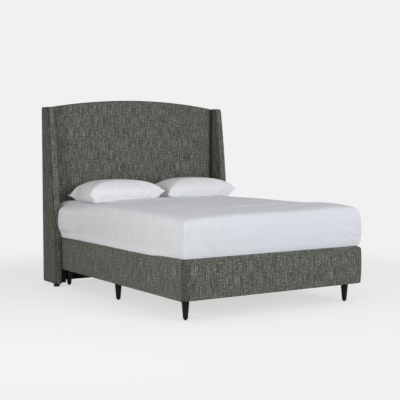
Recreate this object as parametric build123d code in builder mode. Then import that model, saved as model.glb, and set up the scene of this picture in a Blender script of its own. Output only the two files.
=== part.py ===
from build123d import *
import os

os.makedirs("parts", exist_ok=True)

# Overall sizes of the bed, in millimetres. X is its width, -Y its foot end and +Z is up.
base_width = 1560.0
foot_to_headboard = 2030.0
headboard_thickness = 65.0
headboard_end_height = 1460.0
headboard_rise = 65.0
rail_lift = 140.0
rail_height = 280.0

# Cloth and running clearances shared by every piece
cloth = 2.0
fit = 0.1
soft_gap = 0.3
overrun = 5.0

# Side rails and foot rail: a board, foam on its outer face and top edge, and a cloth wrap
rail_board_thickness = 28.0
rail_foam = 20.0
rail_top_foam = 12.0
rail_top_radius = 16.0
rail_bottom_radius = 10.0
rail_return_gap = 2.0

# Wings at the two ends of the headboard
wing_gap = 5.0
wing_thickness = 60.0
wing_foam = 12.0
wing_depth_low = 245.0
wing_depth_top = 127.0
wing_front_bulge = 32.0
wing_nose_radius = 24.0
wing_toe_radius = 8.0

# Headboard: a timber frame, a ply panel, foam, a tweed front and a black lining low down
headboard_foam_thickness = 14.0
panel_thickness = 9.0
headboard_edge_radius = 10.0
lining_height = 120.0
stile_width = 58.0
top_rail_depth = 80.0
cross_rail_height = 70.0
middle_rail_height_share = 0.56
anchor_rail_height = 170.0
anchor_rail_drop = 60.0

# Round glides and braces under the wings
glide_radius = 25.0
glide_height = 25.0
glide_setback = 46.0
glide_chamfer = 2.0
glide_recess = 6.0
brace_width = 56.0
brace_depth = 130.0
brace_chamfer = 3.0

# Turned legs
leg_side_inset = 84.0
leg_foot_inset = 90.0
leg_head_inset = 120.0
leg_middle_shift = 48.0
leg_top_radius = 28.0
leg_low_radius = 17.5
leg_tip_radius = 9.0
leg_tip_height = 18.0
leg_glide_height = 4.0
leg_glide_radius = 8.0
leg_glide_pin_radius = 1.5
leg_glide_pin_length = 16.0
leg_bolt_radius = 4.0
leg_bolt_in_leg = 40.0
leg_bolt_in_block = 38.0
insert_wall = 2.0
insert_length = 22.0
insert_flange_radius = 12.0
insert_flange = 1.5

# Wood blocks that carry the legs
block_width = 90.0
block_length = 90.0
block_height = 45.0
block_screw_spacing = 56.0

# Ledgers, slats and webbing
ledger_width = 25.0
ledger_height = 45.0
ledger_end_gap = 14.0
ledger_screw_count = 7
ledger_screw_margin = 90.0
slat_count = 14
slat_width = 70.0
slat_thickness = 18.0
slat_end_gap = 3.0
slat_edge_radius = 3.0
strap_width = 25.0
strap_thickness = 1.0
strap_side_place = 250.0

# Centre beam, its hangers, posts and levelling feet
beam_width = 45.0
beam_height = 90.0
hanger_steel = 2.5
hanger_seat = 45.0
hanger_flange = 24.0
post_count = 3
post_width = 45.0
post_head_inset = 410.0
post_pitch = 420.0
post_lift = 22.0
post_chamfer = 2.0
foot_pad_radius = 20.0
foot_pad_height = 8.0
foot_pad_chamfer = 1.5
foot_stud_radius = 5.0
foot_stud_in_post = 30.0
foot_travel = 10.0
foot_hole_spare = 6.0

# Steel angles that hold the side rails to the headboard, with bolts and screws
bracket_steel = 4.0
bracket_arm = 78.0
bracket_height = 110.0
bracket_edge_radius = 2.0
bracket_screw_shares = ((0.35, 0.2), (0.35, 0.8), (0.78, 0.5))
bracket_bolt_spacing = 60.0
bracket_bolt_place = 46.0
bolt_radius = 4.0
bolt_head_radius = 7.5
bolt_head_height = 5.5
tee_wall = 1.6
tee_length = 14.0
tee_flange_radius = 10.0
tee_flange = 1.5
wing_bolt_top_drop = 150.0
wing_bolt_back_inset = 21.0

# Wood screws
screw_radius = 2.2
screw_head_radius = 4.4
ledger_screw_length = 45.0
block_screw_length = 66.0
bracket_screw_length = 24.0
glide_screw_length = 52.0

# Mattress and its fitted sheet. Each pair of shares is of the thickness: a height and its inset.
mattress_side_inset = 1.0
mattress_thickness = 285.0
mattress_foot_inset = 4.0
mattress_head_gap = 4.0
mattress_corner_radius = 24.0
mattress_profile_shares = (
    (0.0, 0.045), (0.1, 0.012), (0.4, 0.0), (0.7, 0.012), (0.9, 0.055), (0.975, 0.15), (1.0, 0.38),
)
sheet_thickness = 1.5

# Pillows in their cases, lying on the mattress before the headboard
pillow_height = 156.0
pillow_depth = 400.0
pillow_seam = 9.0
pillow_seam_height = 46.0
pillow_bottom_drop = 24.0
case_thickness = 1.0
case_slit = 3.0
case_slit_depth = 16.0
pillow_pair_gap = 14.0
pillow_left_margin = 130.0
pillow_left_setback = 230.0
pillow_left_turn = 2.0
pillow_right_margin = 6.0
pillow_right_setback = 240.0
pillow_right_turn = 0.0
# Along the pillow from its middle: the place, the swell of its height and the depth, as shares
pillow_shares = (
    (-1.0, 0.03, 1.0), (-0.86, 0.46, 0.975), (-0.5, 0.9, 0.95), (0.0, 1.0, 0.94),
    (0.5, 0.9, 0.95), (0.86, 0.46, 0.975), (1.0, 0.03, 1.0),
)

# Places worked out from the sizes above
overall_length = foot_to_headboard + headboard_thickness
foot_y = -overall_length / 2
back_y = overall_length / 2
face_y = foot_y + foot_to_headboard
half_base = base_width / 2
headboard_peak_height = headboard_end_height + headboard_rise
rail_top = rail_lift + rail_height
rail_thickness = rail_board_thickness + rail_foam + cloth
board_inner_x = half_base - rail_thickness
board_outer_x = board_inner_x + rail_board_thickness
board_low = rail_lift + cloth
board_high = rail_top - cloth - rail_top_foam
foot_board_inner_y = foot_y + rail_thickness
slat_low = rail_top - slat_thickness
return_low = slat_low + rail_return_gap
wing_inner_x = half_base + wing_gap
wing_outer_x = wing_inner_x + wing_thickness
wing_middle_x = wing_inner_x + wing_thickness / 2
wing_front_low_y = back_y - wing_depth_low
wing_front_top_y = back_y - wing_depth_top
panel_y = face_y + cloth + headboard_foam_thickness
frame_y = panel_y + panel_thickness
frame_back_y = back_y - cloth
anchor_high = rail_top - anchor_rail_drop
anchor_low = anchor_high - anchor_rail_height
leg_rear_place = foot_to_headboard - leg_head_inset
leg_places = (leg_foot_inset, (leg_foot_inset + leg_rear_place) / 2 + leg_middle_shift, leg_rear_place)
last_post = foot_to_headboard - post_head_inset
post_places = [last_post - step * post_pitch for step in reversed(range(post_count))]
leg_x = half_base - leg_side_inset
bracket_middle = (anchor_low + anchor_high) / 2
bracket_low = bracket_middle - bracket_height / 2


def save(piece, name):
    """Label a finished piece and write it."""
    piece.part.label = name
    export_step(piece.part, f"parts/{name}.step")


def wood_screw(length, grow=0.0):
    """A countersunk screw along -Z with its head flush with the XY plane."""
    head = screw_head_radius + grow
    shank = screw_radius + grow
    reach = length + grow
    with BuildPart() as screw:
        with BuildSketch(Plane.XZ):
            with BuildLine():
                Polyline((0, 0), (head, 0), (shank, shank - head), (shank, shank - reach), (0, -reach),
                         close=True)
            make_face()
        revolve(axis=Axis.Z)
    return screw.part


def hex_bolt(length):
    """A hexagon bolt along -Z with its head standing on the XY plane."""
    with BuildPart() as bolt:
        with BuildSketch():
            RegularPolygon(bolt_head_radius, 6)
        extrude(amount=bolt_head_height)
        with BuildSketch():
            Circle(bolt_radius)
        extrude(amount=-length)
    return bolt.part


def tee_nut(inner_radius, wall, length, flange_radius, flange):
    """A flanged threaded sleeve along -Z with the flange's outer face on the XY plane."""
    with BuildPart() as nut:
        with BuildSketch():
            Circle(flange_radius)
        extrude(amount=-flange)
        with BuildSketch():
            Circle(inner_radius + wall)
        extrude(amount=-length)
        with BuildSketch():
            Circle(inner_radius)
        extrude(amount=-length, mode=Mode.SUBTRACT)
    return nut.part


def tee_nut_seat(inner_radius, wall, length, flange_radius, flange):
    """The space a flanged sleeve needs in wood."""
    with BuildPart() as seat:
        with BuildSketch():
            Circle(flange_radius + fit)
        extrude(amount=-flange)
        with BuildSketch():
            Circle(inner_radius + wall + fit)
        extrude(amount=-length - fit)
    return seat.part


def facing(points, direction):
    """Planes at the points whose Z looks along the direction."""
    return [Plane(origin=point, z_dir=direction) for point in points]


# Upholstered rails. Their section is drawn outwards (U) and up (V), and the foot corners are mitred.
side_section = Plane(origin=(0, face_y, 0), x_dir=(1, 0, 0), z_dir=(0, -1, 0))
foot_section = Plane(origin=(0, 0, 0), x_dir=(0, -1, 0), z_dir=(-1, 0, 0))
corner = (half_base, foot_y, 0)
mitre = Plane(origin=corner, z_dir=(1, 1, 0))
other_mitre = Plane(origin=(-half_base, foot_y, 0), z_dir=(-1, 1, 0))
rail_run = foot_to_headboard


def draw_rail_section(outer, inner, low, high, top_radius, bottom_radius):
    """Draw a rail's section in the open sketch, with its two outer edges rounded."""
    with Locations(((outer + inner) / 2, (low + high) / 2)):
        Rectangle(outer - inner, high - low)
    if top_radius:
        fillet(vertices().group_by(Axis.X)[-1].sort_by(Axis.Y)[-1], top_radius)
        fillet(vertices().group_by(Axis.X)[-1].sort_by(Axis.Y)[0], bottom_radius)


def side_rail_solid(outer, inner, low, high, top_radius=0.0, bottom_radius=0.0, inset=0.0):
    """A right-hand side rail shape that runs from the mitre to the headboard."""
    with BuildPart() as rail:
        with BuildSketch(side_section.offset(inset)):
            draw_rail_section(outer, inner, low, high, top_radius, bottom_radius)
        extrude(amount=rail_run)
        split(bisect_by=mitre.offset(inset), keep=Keep.TOP)
    return rail.part


def foot_rail_solid(outer, inner, low, high, top_radius=0.0, bottom_radius=0.0, inset=0.0):
    """A foot rail shape between its two mitres."""
    with BuildPart() as rail:
        with BuildSketch(foot_section):
            draw_rail_section(outer, inner, low, high, top_radius, bottom_radius)
        extrude(amount=half_base, both=True)
        split(bisect_by=mitre.offset(-inset), keep=Keep.BOTTOM)
        split(bisect_by=other_mitre.offset(-inset), keep=Keep.BOTTOM)
    return rail.part


def rail_pieces(solid, outer, inner):
    """Wrap, padding space and board of a rail whose outer and inner faces are given along U."""
    board_outer = inner + rail_board_thickness
    wrap = solid(outer, inner - cloth, rail_lift, rail_top, rail_top_radius, rail_bottom_radius)
    space = solid(outer - cloth, inner, board_low, rail_top - cloth,
                  rail_top_radius - cloth, rail_bottom_radius - cloth, cloth)
    back = solid(inner, inner - cloth - overrun, rail_lift - overrun, return_low)
    board = solid(board_outer, inner, board_low, board_high, inset=cloth)
    return wrap, space, back, board


wrap, space, back, board = rail_pieces(side_rail_solid, half_base, board_inner_x)
block_screw_places = [
    (board_outer_x, foot_y + place + shift, rail_lift + block_height / 2)
    for place in leg_places for shift in (-block_screw_spacing / 2, block_screw_spacing / 2)
]
ledger_span = foot_to_headboard - rail_thickness - ledger_end_gap
ledger_pitch = (ledger_span - 2 * ledger_screw_margin) / (ledger_screw_count - 1)
ledger_inner_x = board_inner_x - ledger_width
ledger_first_y = foot_board_inner_y + ledger_screw_margin
ledger_screw_places = [
    (ledger_inner_x, ledger_first_y + number * ledger_pitch, slat_low - ledger_height / 2)
    for number in range(ledger_screw_count)
]
bracket_x = board_inner_x - bracket_steel
bracket_screw_places = [
    (bracket_x, face_y - bracket_arm * along, bracket_low + bracket_height * up)
    for along, up in bracket_screw_shares
]
bracket_bolt_places = [
    (board_inner_x - bracket_bolt_place, face_y - bracket_steel, bracket_middle + shift)
    for shift in (-bracket_bolt_spacing / 2, bracket_bolt_spacing / 2)
]

# The centre beam's steel hangers are screwed to the foot board and bolted to the headboard
beam_low = slat_low - beam_height
hanger_outer = beam_width / 2 + hanger_steel
hanger_hole_x = hanger_outer + hanger_flange / 2
hanger_bolt_place = (hanger_hole_x, face_y - hanger_steel, anchor_high - hanger_flange)
hanger_screw_holes = facing([
    (hanger_hole_x, foot_board_inner_y + hanger_steel, beam_low + beam_height / 2 + shift)
    for shift in (-hanger_flange, hanger_flange)
], (0, 1, 0))

for side in ("left", "right"):
    with BuildPart() as side_rail_cover:
        add(wrap)
        add(space, mode=Mode.SUBTRACT)
        add(back, mode=Mode.SUBTRACT)
        if side == "left":
            mirror(about=Plane.YZ, mode=Mode.REPLACE)
    save(side_rail_cover, f"side_rail_cover_{side}")

    with BuildPart() as side_rail_padding:
        add(space)
        add(board, mode=Mode.SUBTRACT)
        if side == "left":
            mirror(about=Plane.YZ, mode=Mode.REPLACE)
    save(side_rail_padding, f"side_rail_padding_{side}")

    with BuildPart() as side_rail_board:
        add(board)
        with Locations(*facing(block_screw_places, (1, 0, 0))):
            add(wood_screw(block_screw_length, fit), mode=Mode.SUBTRACT)
        with Locations(*facing(ledger_screw_places, (-1, 0, 0))):
            add(wood_screw(ledger_screw_length, fit), mode=Mode.SUBTRACT)
        with Locations(*facing(bracket_screw_places, (-1, 0, 0))):
            add(wood_screw(bracket_screw_length, fit), mode=Mode.SUBTRACT)
        if side == "left":
            mirror(about=Plane.YZ, mode=Mode.REPLACE)
    save(side_rail_board, f"side_rail_board_{side}")

    with BuildPart() as ledger:
        with BuildSketch(Plane.XY.offset(slat_low - ledger_height)):
            with Locations((board_inner_x - ledger_width / 2, foot_board_inner_y + ledger_span / 2)):
                Rectangle(ledger_width, ledger_span)
        extrude(amount=ledger_height)
        with Locations(*facing(ledger_screw_places, (-1, 0, 0))):
            add(wood_screw(ledger_screw_length, fit), mode=Mode.SUBTRACT)
        if side == "left":
            mirror(about=Plane.YZ, mode=Mode.REPLACE)
    save(ledger, f"ledger_{side}")

wrap, space, back, board = rail_pieces(foot_rail_solid, -foot_y, -foot_board_inner_y)
with BuildPart() as foot_rail_cover:
    add(wrap)
    add(space, mode=Mode.SUBTRACT)
    add(back, mode=Mode.SUBTRACT)
save(foot_rail_cover, "foot_rail_cover")

with BuildPart() as foot_rail_padding:
    add(space)
    add(board, mode=Mode.SUBTRACT)
save(foot_rail_padding, "foot_rail_padding")

with BuildPart() as foot_rail_board:
    add(board)
    with Locations(*hanger_screw_holes):
        add(wood_screw(bracket_screw_length, fit), mode=Mode.SUBTRACT)
    mirror(about=Plane.YZ, mode=Mode.INTERSECT)
save(foot_rail_board, "foot_rail_board")

with BuildPart() as ledger_screws:
    with Locations(*facing(ledger_screw_places, (-1, 0, 0))):
        add(wood_screw(ledger_screw_length))
    mirror(about=Plane.YZ)
save(ledger_screws, "ledger_screws")

# Leg blocks, legs and their fixings
leg_points = [(leg_x, foot_y + place) for place in leg_places]
block_x = board_inner_x - block_width / 2
insert_size = (leg_bolt_radius + fit, insert_wall, insert_length, insert_flange_radius, insert_flange)
foot_block_y = foot_board_inner_y + block_length / 2
block_points = [(block_x, foot_block_y)] + [(block_x, y) for x, y in leg_points[1:]]
under_blocks = facing([(x, y, rail_lift) for x, y in leg_points], (0, 0, -1))

with BuildPart() as leg_blocks:
    with BuildSketch(Plane.XY.offset(rail_lift)):
        with Locations(*block_points):
            Rectangle(block_width, block_length)
    extrude(amount=block_height)
    with Locations(*under_blocks):
        add(tee_nut_seat(*insert_size), mode=Mode.SUBTRACT)
        Hole(leg_bolt_radius + fit, leg_bolt_in_block + fit)
    with Locations(*facing(block_screw_places, (1, 0, 0))):
        add(wood_screw(block_screw_length, fit), mode=Mode.SUBTRACT)
    mirror(about=Plane.YZ)
save(leg_blocks, "leg_blocks")

with BuildPart() as block_screws:
    with Locations(*facing(block_screw_places, (1, 0, 0))):
        add(wood_screw(block_screw_length))
    mirror(about=Plane.YZ)
save(block_screws, "block_screws")

with BuildPart() as leg_inserts:
    with Locations(*under_blocks):
        add(tee_nut(*insert_size))
    mirror(about=Plane.YZ)
save(leg_inserts, "leg_inserts")

with BuildPart() as leg_bolts:
    with BuildSketch(Plane.XY.offset(rail_lift - leg_bolt_in_leg)):
        with Locations(*leg_points):
            Circle(leg_bolt_radius)
    extrude(amount=leg_bolt_in_leg + leg_bolt_in_block)
    mirror(about=Plane.YZ)
save(leg_bolts, "leg_bolts")

with BuildPart() as leg_glides:
    with BuildSketch():
        with Locations(*leg_points):
            Circle(leg_glide_radius)
    extrude(amount=leg_glide_height)
    with BuildSketch(Plane.XY.offset(leg_glide_height)):
        with Locations(*leg_points):
            Circle(leg_glide_pin_radius)
    extrude(amount=leg_glide_pin_length)
    mirror(about=Plane.YZ)
save(leg_glides, "leg_glides")

for side, sign in (("left", -1), ("right", 1)):
    for (x, y), place in zip(leg_points, ("foot", "middle", "head")):
        with BuildPart() as leg:
            with BuildSketch(Plane.XZ):
                with BuildLine():
                    top = Polyline((0, leg_glide_height), (0, rail_lift), (leg_top_radius, rail_lift),
                                   (leg_low_radius, leg_tip_height))
                    tip = RadiusArc(top @ 1, (leg_tip_radius, leg_glide_height), leg_low_radius)
                    Line(tip @ 1, (0, leg_glide_height))
                make_face()
            revolve(axis=Axis.Z)
            with Locations((0, 0, rail_lift)):
                Hole(leg_bolt_radius + fit, leg_bolt_in_leg + fit)
            with Locations(Plane(origin=(0, 0, leg_glide_height), z_dir=(0, 0, -1))):
                Hole(leg_glide_pin_radius + fit, leg_glide_pin_length + fit)
        leg.part = leg.part.moved(Location((sign * x, y, 0)))
        save(leg, f"leg_{place}_{side}")

# Slats on the ledgers, joined by two webbing straps underneath
slat_length = 2 * (board_inner_x - cloth - slat_end_gap)
slat_pitch = (foot_to_headboard - rail_thickness) / slat_count
slat_row_middle = (foot_board_inner_y + face_y) / 2
strap_length = (slat_count - 1) * slat_pitch + slat_width

with BuildPart() as slats:
    with BuildSketch(Plane.XY.offset(slat_low)):
        with Locations((0, slat_row_middle)):
            with GridLocations(0, slat_pitch, 1, slat_count):
                RectangleRounded(slat_length, slat_width, slat_edge_radius)
    extrude(amount=slat_thickness)
save(slats, "slats")

with BuildPart() as slat_straps:
    with BuildSketch(Plane.XY.offset(slat_low)):
        with Locations((-strap_side_place, slat_row_middle), (strap_side_place, slat_row_middle)):
            Rectangle(strap_width, strap_length)
    extrude(amount=-strap_thickness)
save(slat_straps, "slat_straps")

# Centre beam in steel hangers, on three posts with levelling feet
post_points = [(0, foot_y + place) for place in post_places]
foot_hole_depth = foot_stud_in_post + foot_travel + foot_hole_spare

with BuildPart() as centre_beam:
    with BuildSketch(Plane.XY.offset(beam_low)):
        with Locations((0, slat_row_middle)):
            Rectangle(beam_width, foot_to_headboard - rail_thickness - 2 * hanger_steel)
    extrude(amount=beam_height)
save(centre_beam, "centre_beam")

with BuildPart() as beam_hangers:
    for wall_y, inward in ((foot_board_inner_y, 1), (face_y, -1)):
        plate_y = wall_y + inward * hanger_steel / 2
        seat_y = wall_y + inward * (hanger_steel + hanger_seat) / 2
        with BuildSketch(Plane.XY.offset(beam_low - hanger_steel)):
            with Locations((0, plate_y)):
                Rectangle(2 * (hanger_outer + hanger_flange), hanger_steel)
        extrude(amount=beam_height)
        with BuildSketch(Plane.XY.offset(beam_low - hanger_steel)):
            with Locations((0, seat_y)):
                Rectangle(2 * hanger_outer, hanger_steel + hanger_seat)
        extrude(amount=beam_height)
    add(centre_beam.part, mode=Mode.SUBTRACT)
    with Locations(*facing([hanger_bolt_place], (0, -1, 0))):
        Hole(bolt_radius + fit, hanger_steel)
    with Locations(*hanger_screw_holes):
        add(wood_screw(bracket_screw_length, fit), mode=Mode.SUBTRACT)
    mirror(about=Plane.YZ, mode=Mode.INTERSECT)
save(beam_hangers, "beam_hangers")

with BuildPart() as centre_posts:
    with BuildSketch(Plane.XY.offset(post_lift)):
        with Locations(*post_points):
            Rectangle(post_width, post_width)
    extrude(amount=beam_low - post_lift)
    chamfer(edges().filter_by(Axis.Z), post_chamfer)
    with Locations(*facing([(x, y, post_lift) for x, y in post_points], (0, 0, -1))):
        Hole(foot_stud_radius + fit, foot_hole_depth)
save(centre_posts, "centre_posts")

for (x, y), place in zip(post_points, ("front", "middle", "rear")):
    with BuildPart() as levelling_foot:
        with BuildSketch():
            with Locations((x, y)):
                Circle(foot_pad_radius)
        extrude(amount=foot_pad_height)
        chamfer(edges().group_by(Axis.Z)[-1], foot_pad_chamfer)
        with BuildSketch(Plane.XY.offset(foot_pad_height)):
            with Locations((x, y)):
                Circle(foot_stud_radius)
        extrude(amount=post_lift - foot_pad_height + foot_stud_in_post)
    save(levelling_foot, f"levelling_foot_{place}")

# Headboard frame, panel, foam and covers. Its outline is drawn in XZ and thickened towards the back.
tee_size = (bolt_radius + fit, tee_wall, tee_length, tee_flange_radius, tee_flange)
bolt_reach = frame_back_y - face_y
rail_bolt_grip = bracket_steel + bolt_reach
bracket_bolt_holes = facing(bracket_bolt_places, (0, -1, 0))
hanger_bolt_holes = facing([hanger_bolt_place], (0, -1, 0))
bolt_holes_y = bracket_bolt_holes + hanger_bolt_holes
frame_low = glide_height + cloth
frame_high = headboard_end_height - top_rail_depth
middle_rail_low = headboard_peak_height * middle_rail_height_share
frame_half = wing_inner_x - cloth
stile_inner_x = frame_half - stile_width
wing_bolt_y = back_y - wing_bolt_back_inset
wing_bolt_heights = (
    (frame_low + cross_rail_height + anchor_low) / 2,
    (anchor_high + middle_rail_low) / 2,
    frame_high - wing_bolt_top_drop,
)
wing_bolt_places = [(stile_inner_x, wing_bolt_y, height) for height in wing_bolt_heights]
wing_bolt_holes = facing(wing_bolt_places, (-1, 0, 0))
wing_core_outer_x = wing_outer_x - cloth - wing_foam
wing_core_inner_x = wing_inner_x + cloth + wing_foam
wing_tee_places = [(wing_core_outer_x, wing_bolt_y, height) for height in wing_bolt_heights]
wing_tee_holes = facing(wing_tee_places, (1, 0, 0))
rail_tee_places = [(x, frame_back_y, z) for x, y, z in bracket_bolt_places + [hanger_bolt_place]]
rail_tee_holes = facing(rail_tee_places, (0, 1, 0))
wing_bolt_length = wing_core_outer_x - stile_inner_x


def headboard_slab(front_y, rear_y, inset=0.0, edge_radius=0.0):
    """The whole arched outline between two planes, with its front arch edge eased."""
    half = wing_inner_x - inset
    low = glide_height + inset
    end = headboard_end_height - inset
    peak = headboard_peak_height - inset
    with BuildPart() as slab:
        with BuildSketch(Plane.XZ.offset(-front_y)):
            with BuildLine():
                ThreePointArc((-half, end), (0, peak), (half, end))
                Polyline((half, end), (half, low), (-half, low), (-half, end))
            make_face()
        extrude(amount=front_y - rear_y)
        if edge_radius:
            fillet(edges().filter_by(GeomType.CIRCLE).sort_by(Axis.Y)[0], edge_radius)
    return slab.part


tray = headboard_slab(face_y, frame_back_y, 0.0, headboard_edge_radius)
hollow = headboard_slab(face_y + cloth, back_y, cloth, headboard_edge_radius - cloth)
lining_plane = Plane.XY.offset(glide_height + lining_height)

for name, kept in (("headboard_cover", Keep.TOP), ("headboard_lining", Keep.BOTTOM)):
    with BuildPart() as headboard_skin:
        add(tray)
        add(hollow, mode=Mode.SUBTRACT)
        split(bisect_by=lining_plane, keep=kept)
        with Locations(*bolt_holes_y):
            Hole(bolt_radius + fit, rail_bolt_grip)
        with Locations(*wing_bolt_holes):
            Hole(bolt_radius + fit, wing_bolt_length)
        mirror(about=Plane.YZ, mode=Mode.INTERSECT)
    save(headboard_skin, name)

with BuildPart() as headboard_foam:
    add(hollow)
    split(bisect_by=Plane.XZ.offset(-panel_y), keep=Keep.TOP)
    with Locations(*bolt_holes_y):
        Hole(bolt_radius + fit, rail_bolt_grip)
    mirror(about=Plane.YZ, mode=Mode.INTERSECT)
save(headboard_foam, "headboard_foam")

with BuildPart() as headboard_panel:
    add(headboard_slab(panel_y, frame_y, cloth))
    with Locations(*bolt_holes_y):
        Hole(bolt_radius + fit, rail_bolt_grip)
    mirror(about=Plane.YZ, mode=Mode.INTERSECT)
save(headboard_panel, "headboard_panel")

with BuildPart() as headboard_back_cloth:
    add(headboard_slab(frame_back_y, back_y))
save(headboard_back_cloth, "headboard_back_cloth")

with BuildPart() as headboard_top_rail:
    add(headboard_slab(frame_y, frame_back_y, cloth))
    split(bisect_by=Plane.XY.offset(frame_high), keep=Keep.TOP)
save(headboard_top_rail, "headboard_top_rail")

frame_depth = frame_back_y - frame_y
frame_middle_y = (frame_y + frame_back_y) / 2

with BuildPart() as headboard_stiles:
    with BuildSketch(Plane.XY.offset(frame_low)):
        with Locations((stile_inner_x + stile_width / 2, frame_middle_y)):
            Rectangle(stile_width, frame_depth)
    extrude(amount=frame_high - frame_low)
    with Locations(*wing_bolt_holes):
        Hole(bolt_radius + fit, stile_width)
    mirror(about=Plane.YZ)
save(headboard_stiles, "headboard_stiles")

with BuildPart() as headboard_cross_rails:
    for low in (frame_low, middle_rail_low):
        with BuildSketch(Plane.XY.offset(low)):
            with Locations((0, frame_middle_y)):
                Rectangle(2 * stile_inner_x, frame_depth)
        extrude(amount=cross_rail_height)
save(headboard_cross_rails, "headboard_cross_rails")

with BuildPart() as headboard_anchor_rail:
    with BuildSketch(Plane.XY.offset(anchor_low)):
        with Locations((0, frame_middle_y)):
            Rectangle(2 * stile_inner_x, frame_depth)
    extrude(amount=anchor_high - anchor_low)
    with Locations(*rail_tee_holes):
        add(tee_nut_seat(*tee_size), mode=Mode.SUBTRACT)
        Hole(bolt_radius + fit, frame_depth)
    mirror(about=Plane.YZ, mode=Mode.INTERSECT)
save(headboard_anchor_rail, "headboard_anchor_rail")

# Wings: a board core, foam on its faces, front and top, and a cloth cover, on round glides


def wing_slab(inner_x, outer_x, front_inset, top_inset, rear_inset):
    """The wing's outline between two X planes, drawn in YZ with a bowed, leaning front edge."""
    low = glide_height + rear_inset
    high = headboard_end_height - top_inset
    rear = back_y - rear_inset
    front_low = wing_front_low_y + front_inset
    front_top = wing_front_top_y + front_inset
    bow = ((front_low + front_top) / 2 - wing_front_bulge, (low + high) / 2)
    with BuildPart() as slab:
        with BuildSketch(Plane.YZ.offset(inner_x)):
            with BuildLine():
                ThreePointArc((front_low, low), bow, (front_top, high))
                Polyline((front_top, high), (rear, high), (rear, low), (front_low, low))
            make_face()
            fillet(vertices().group_by(Axis.Y)[-1].sort_by(Axis.X)[0], wing_nose_radius - top_inset)
            fillet(vertices().group_by(Axis.Y)[0].sort_by(Axis.X)[0], wing_toe_radius - rear_inset)
        extrude(amount=outer_x - inner_x)
    return slab.part


wing_outer = wing_slab(wing_inner_x, wing_outer_x, 0.0, 0.0, 0.0)
wing_space = wing_slab(wing_inner_x + cloth, wing_outer_x - cloth, cloth, cloth, cloth)
wing_board = wing_slab(wing_core_inner_x, wing_core_outer_x, cloth + wing_foam, cloth + wing_foam, cloth)
glide_y = wing_front_low_y + glide_setback
glide_screw_places = facing([(wing_middle_x, glide_y, glide_recess)], (0, 0, -1))
glide_reach = glide_screw_length + fit

for side in ("left", "right"):
    with BuildPart() as wing_cover:
        add(wing_outer)
        add(wing_space, mode=Mode.SUBTRACT)
        with Locations(*wing_bolt_holes):
            Hole(bolt_radius + fit, wing_bolt_length)
        with Locations(*glide_screw_places):
            Hole(screw_radius + fit, glide_reach)
        if side == "left":
            mirror(about=Plane.YZ, mode=Mode.REPLACE)
    save(wing_cover, f"wing_cover_{side}")

    with BuildPart() as wing_padding:
        add(wing_space)
        add(wing_board, mode=Mode.SUBTRACT)
        with Locations(*wing_bolt_holes):
            Hole(bolt_radius + fit, wing_bolt_length)
        if side == "left":
            mirror(about=Plane.YZ, mode=Mode.REPLACE)
    save(wing_padding, f"wing_padding_{side}")

    with BuildPart() as wing_core:
        add(wing_board)
        with Locations(*wing_bolt_holes):
            Hole(bolt_radius + fit, wing_bolt_length)
        with Locations(*wing_tee_holes):
            add(tee_nut_seat(*tee_size), mode=Mode.SUBTRACT)
        with Locations(*glide_screw_places):
            Hole(screw_radius + fit, glide_reach)
        if side == "left":
            mirror(about=Plane.YZ, mode=Mode.REPLACE)
    save(wing_core, f"wing_core_{side}")

with BuildPart() as wing_bolts:
    with Locations(*wing_bolt_holes):
        add(hex_bolt(wing_bolt_length))
    mirror(about=Plane.YZ)
save(wing_bolts, "wing_bolts")

with BuildPart() as tee_nuts:
    with Locations(*wing_tee_holes, *rail_tee_holes):
        add(tee_nut(*tee_size))
    mirror(about=Plane.YZ)
save(tee_nuts, "tee_nuts")

with BuildPart() as wing_glides:
    with BuildSketch():
        with Locations((wing_middle_x, glide_y)):
            Circle(glide_radius)
    extrude(amount=glide_height)
    chamfer(edges().group_by(Axis.Z)[0], glide_chamfer)
    with Locations(*glide_screw_places):
        add(wood_screw(glide_screw_length, fit), mode=Mode.SUBTRACT)
    with Locations(*facing([(wing_middle_x, glide_y, 0)], (0, 0, -1))):
        Hole(screw_head_radius + fit, glide_recess)
    mirror(about=Plane.YZ)
save(wing_glides, "wing_glides")

with BuildPart() as glide_screws:
    with Locations(*glide_screw_places):
        add(wood_screw(glide_screw_length))
    mirror(about=Plane.YZ)
save(glide_screws, "glide_screws")

with BuildPart() as wing_braces:
    with BuildSketch(Plane.XY.offset(glide_height)):
        with Locations((wing_inner_x - brace_width / 2, face_y - brace_depth / 2)):
            Rectangle(brace_width, brace_depth)
    extrude(amount=rail_lift - glide_height)
    chamfer(edges().filter_by(Axis.X).group_by(Axis.Y)[0].sort_by(Axis.Z)[0], brace_chamfer)
    mirror(about=Plane.YZ)
save(wing_braces, "wing_braces")

# Steel angles between the side rails and the headboard
with BuildPart() as rail_brackets:
    with BuildSketch(Plane.XY.offset(bracket_low)):
        with BuildLine():
            Polyline((board_inner_x, face_y), (board_inner_x, face_y - bracket_arm),
                     (bracket_x, face_y - bracket_arm), (bracket_x, face_y - bracket_steel),
                     (board_inner_x - bracket_arm, face_y - bracket_steel),
                     (board_inner_x - bracket_arm, face_y), close=True)
        make_face()
        fillet(vertices().group_by(Axis.X)[1].sort_by(Axis.Y)[-1], bracket_edge_radius)
    extrude(amount=bracket_height)
    with Locations(*bolt_holes_y):
        Hole(bolt_radius + fit, bracket_steel)
    with Locations(*facing(bracket_screw_places, (-1, 0, 0))):
        add(wood_screw(bracket_screw_length, fit), mode=Mode.SUBTRACT)
    mirror(about=Plane.YZ)
save(rail_brackets, "rail_brackets")

with BuildPart() as bracket_bolts:
    with Locations(*bracket_bolt_holes):
        add(hex_bolt(bolt_reach + bracket_steel))
    with Locations(*hanger_bolt_holes):
        add(hex_bolt(bolt_reach + hanger_steel))
    mirror(about=Plane.YZ)
save(bracket_bolts, "bracket_bolts")

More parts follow.
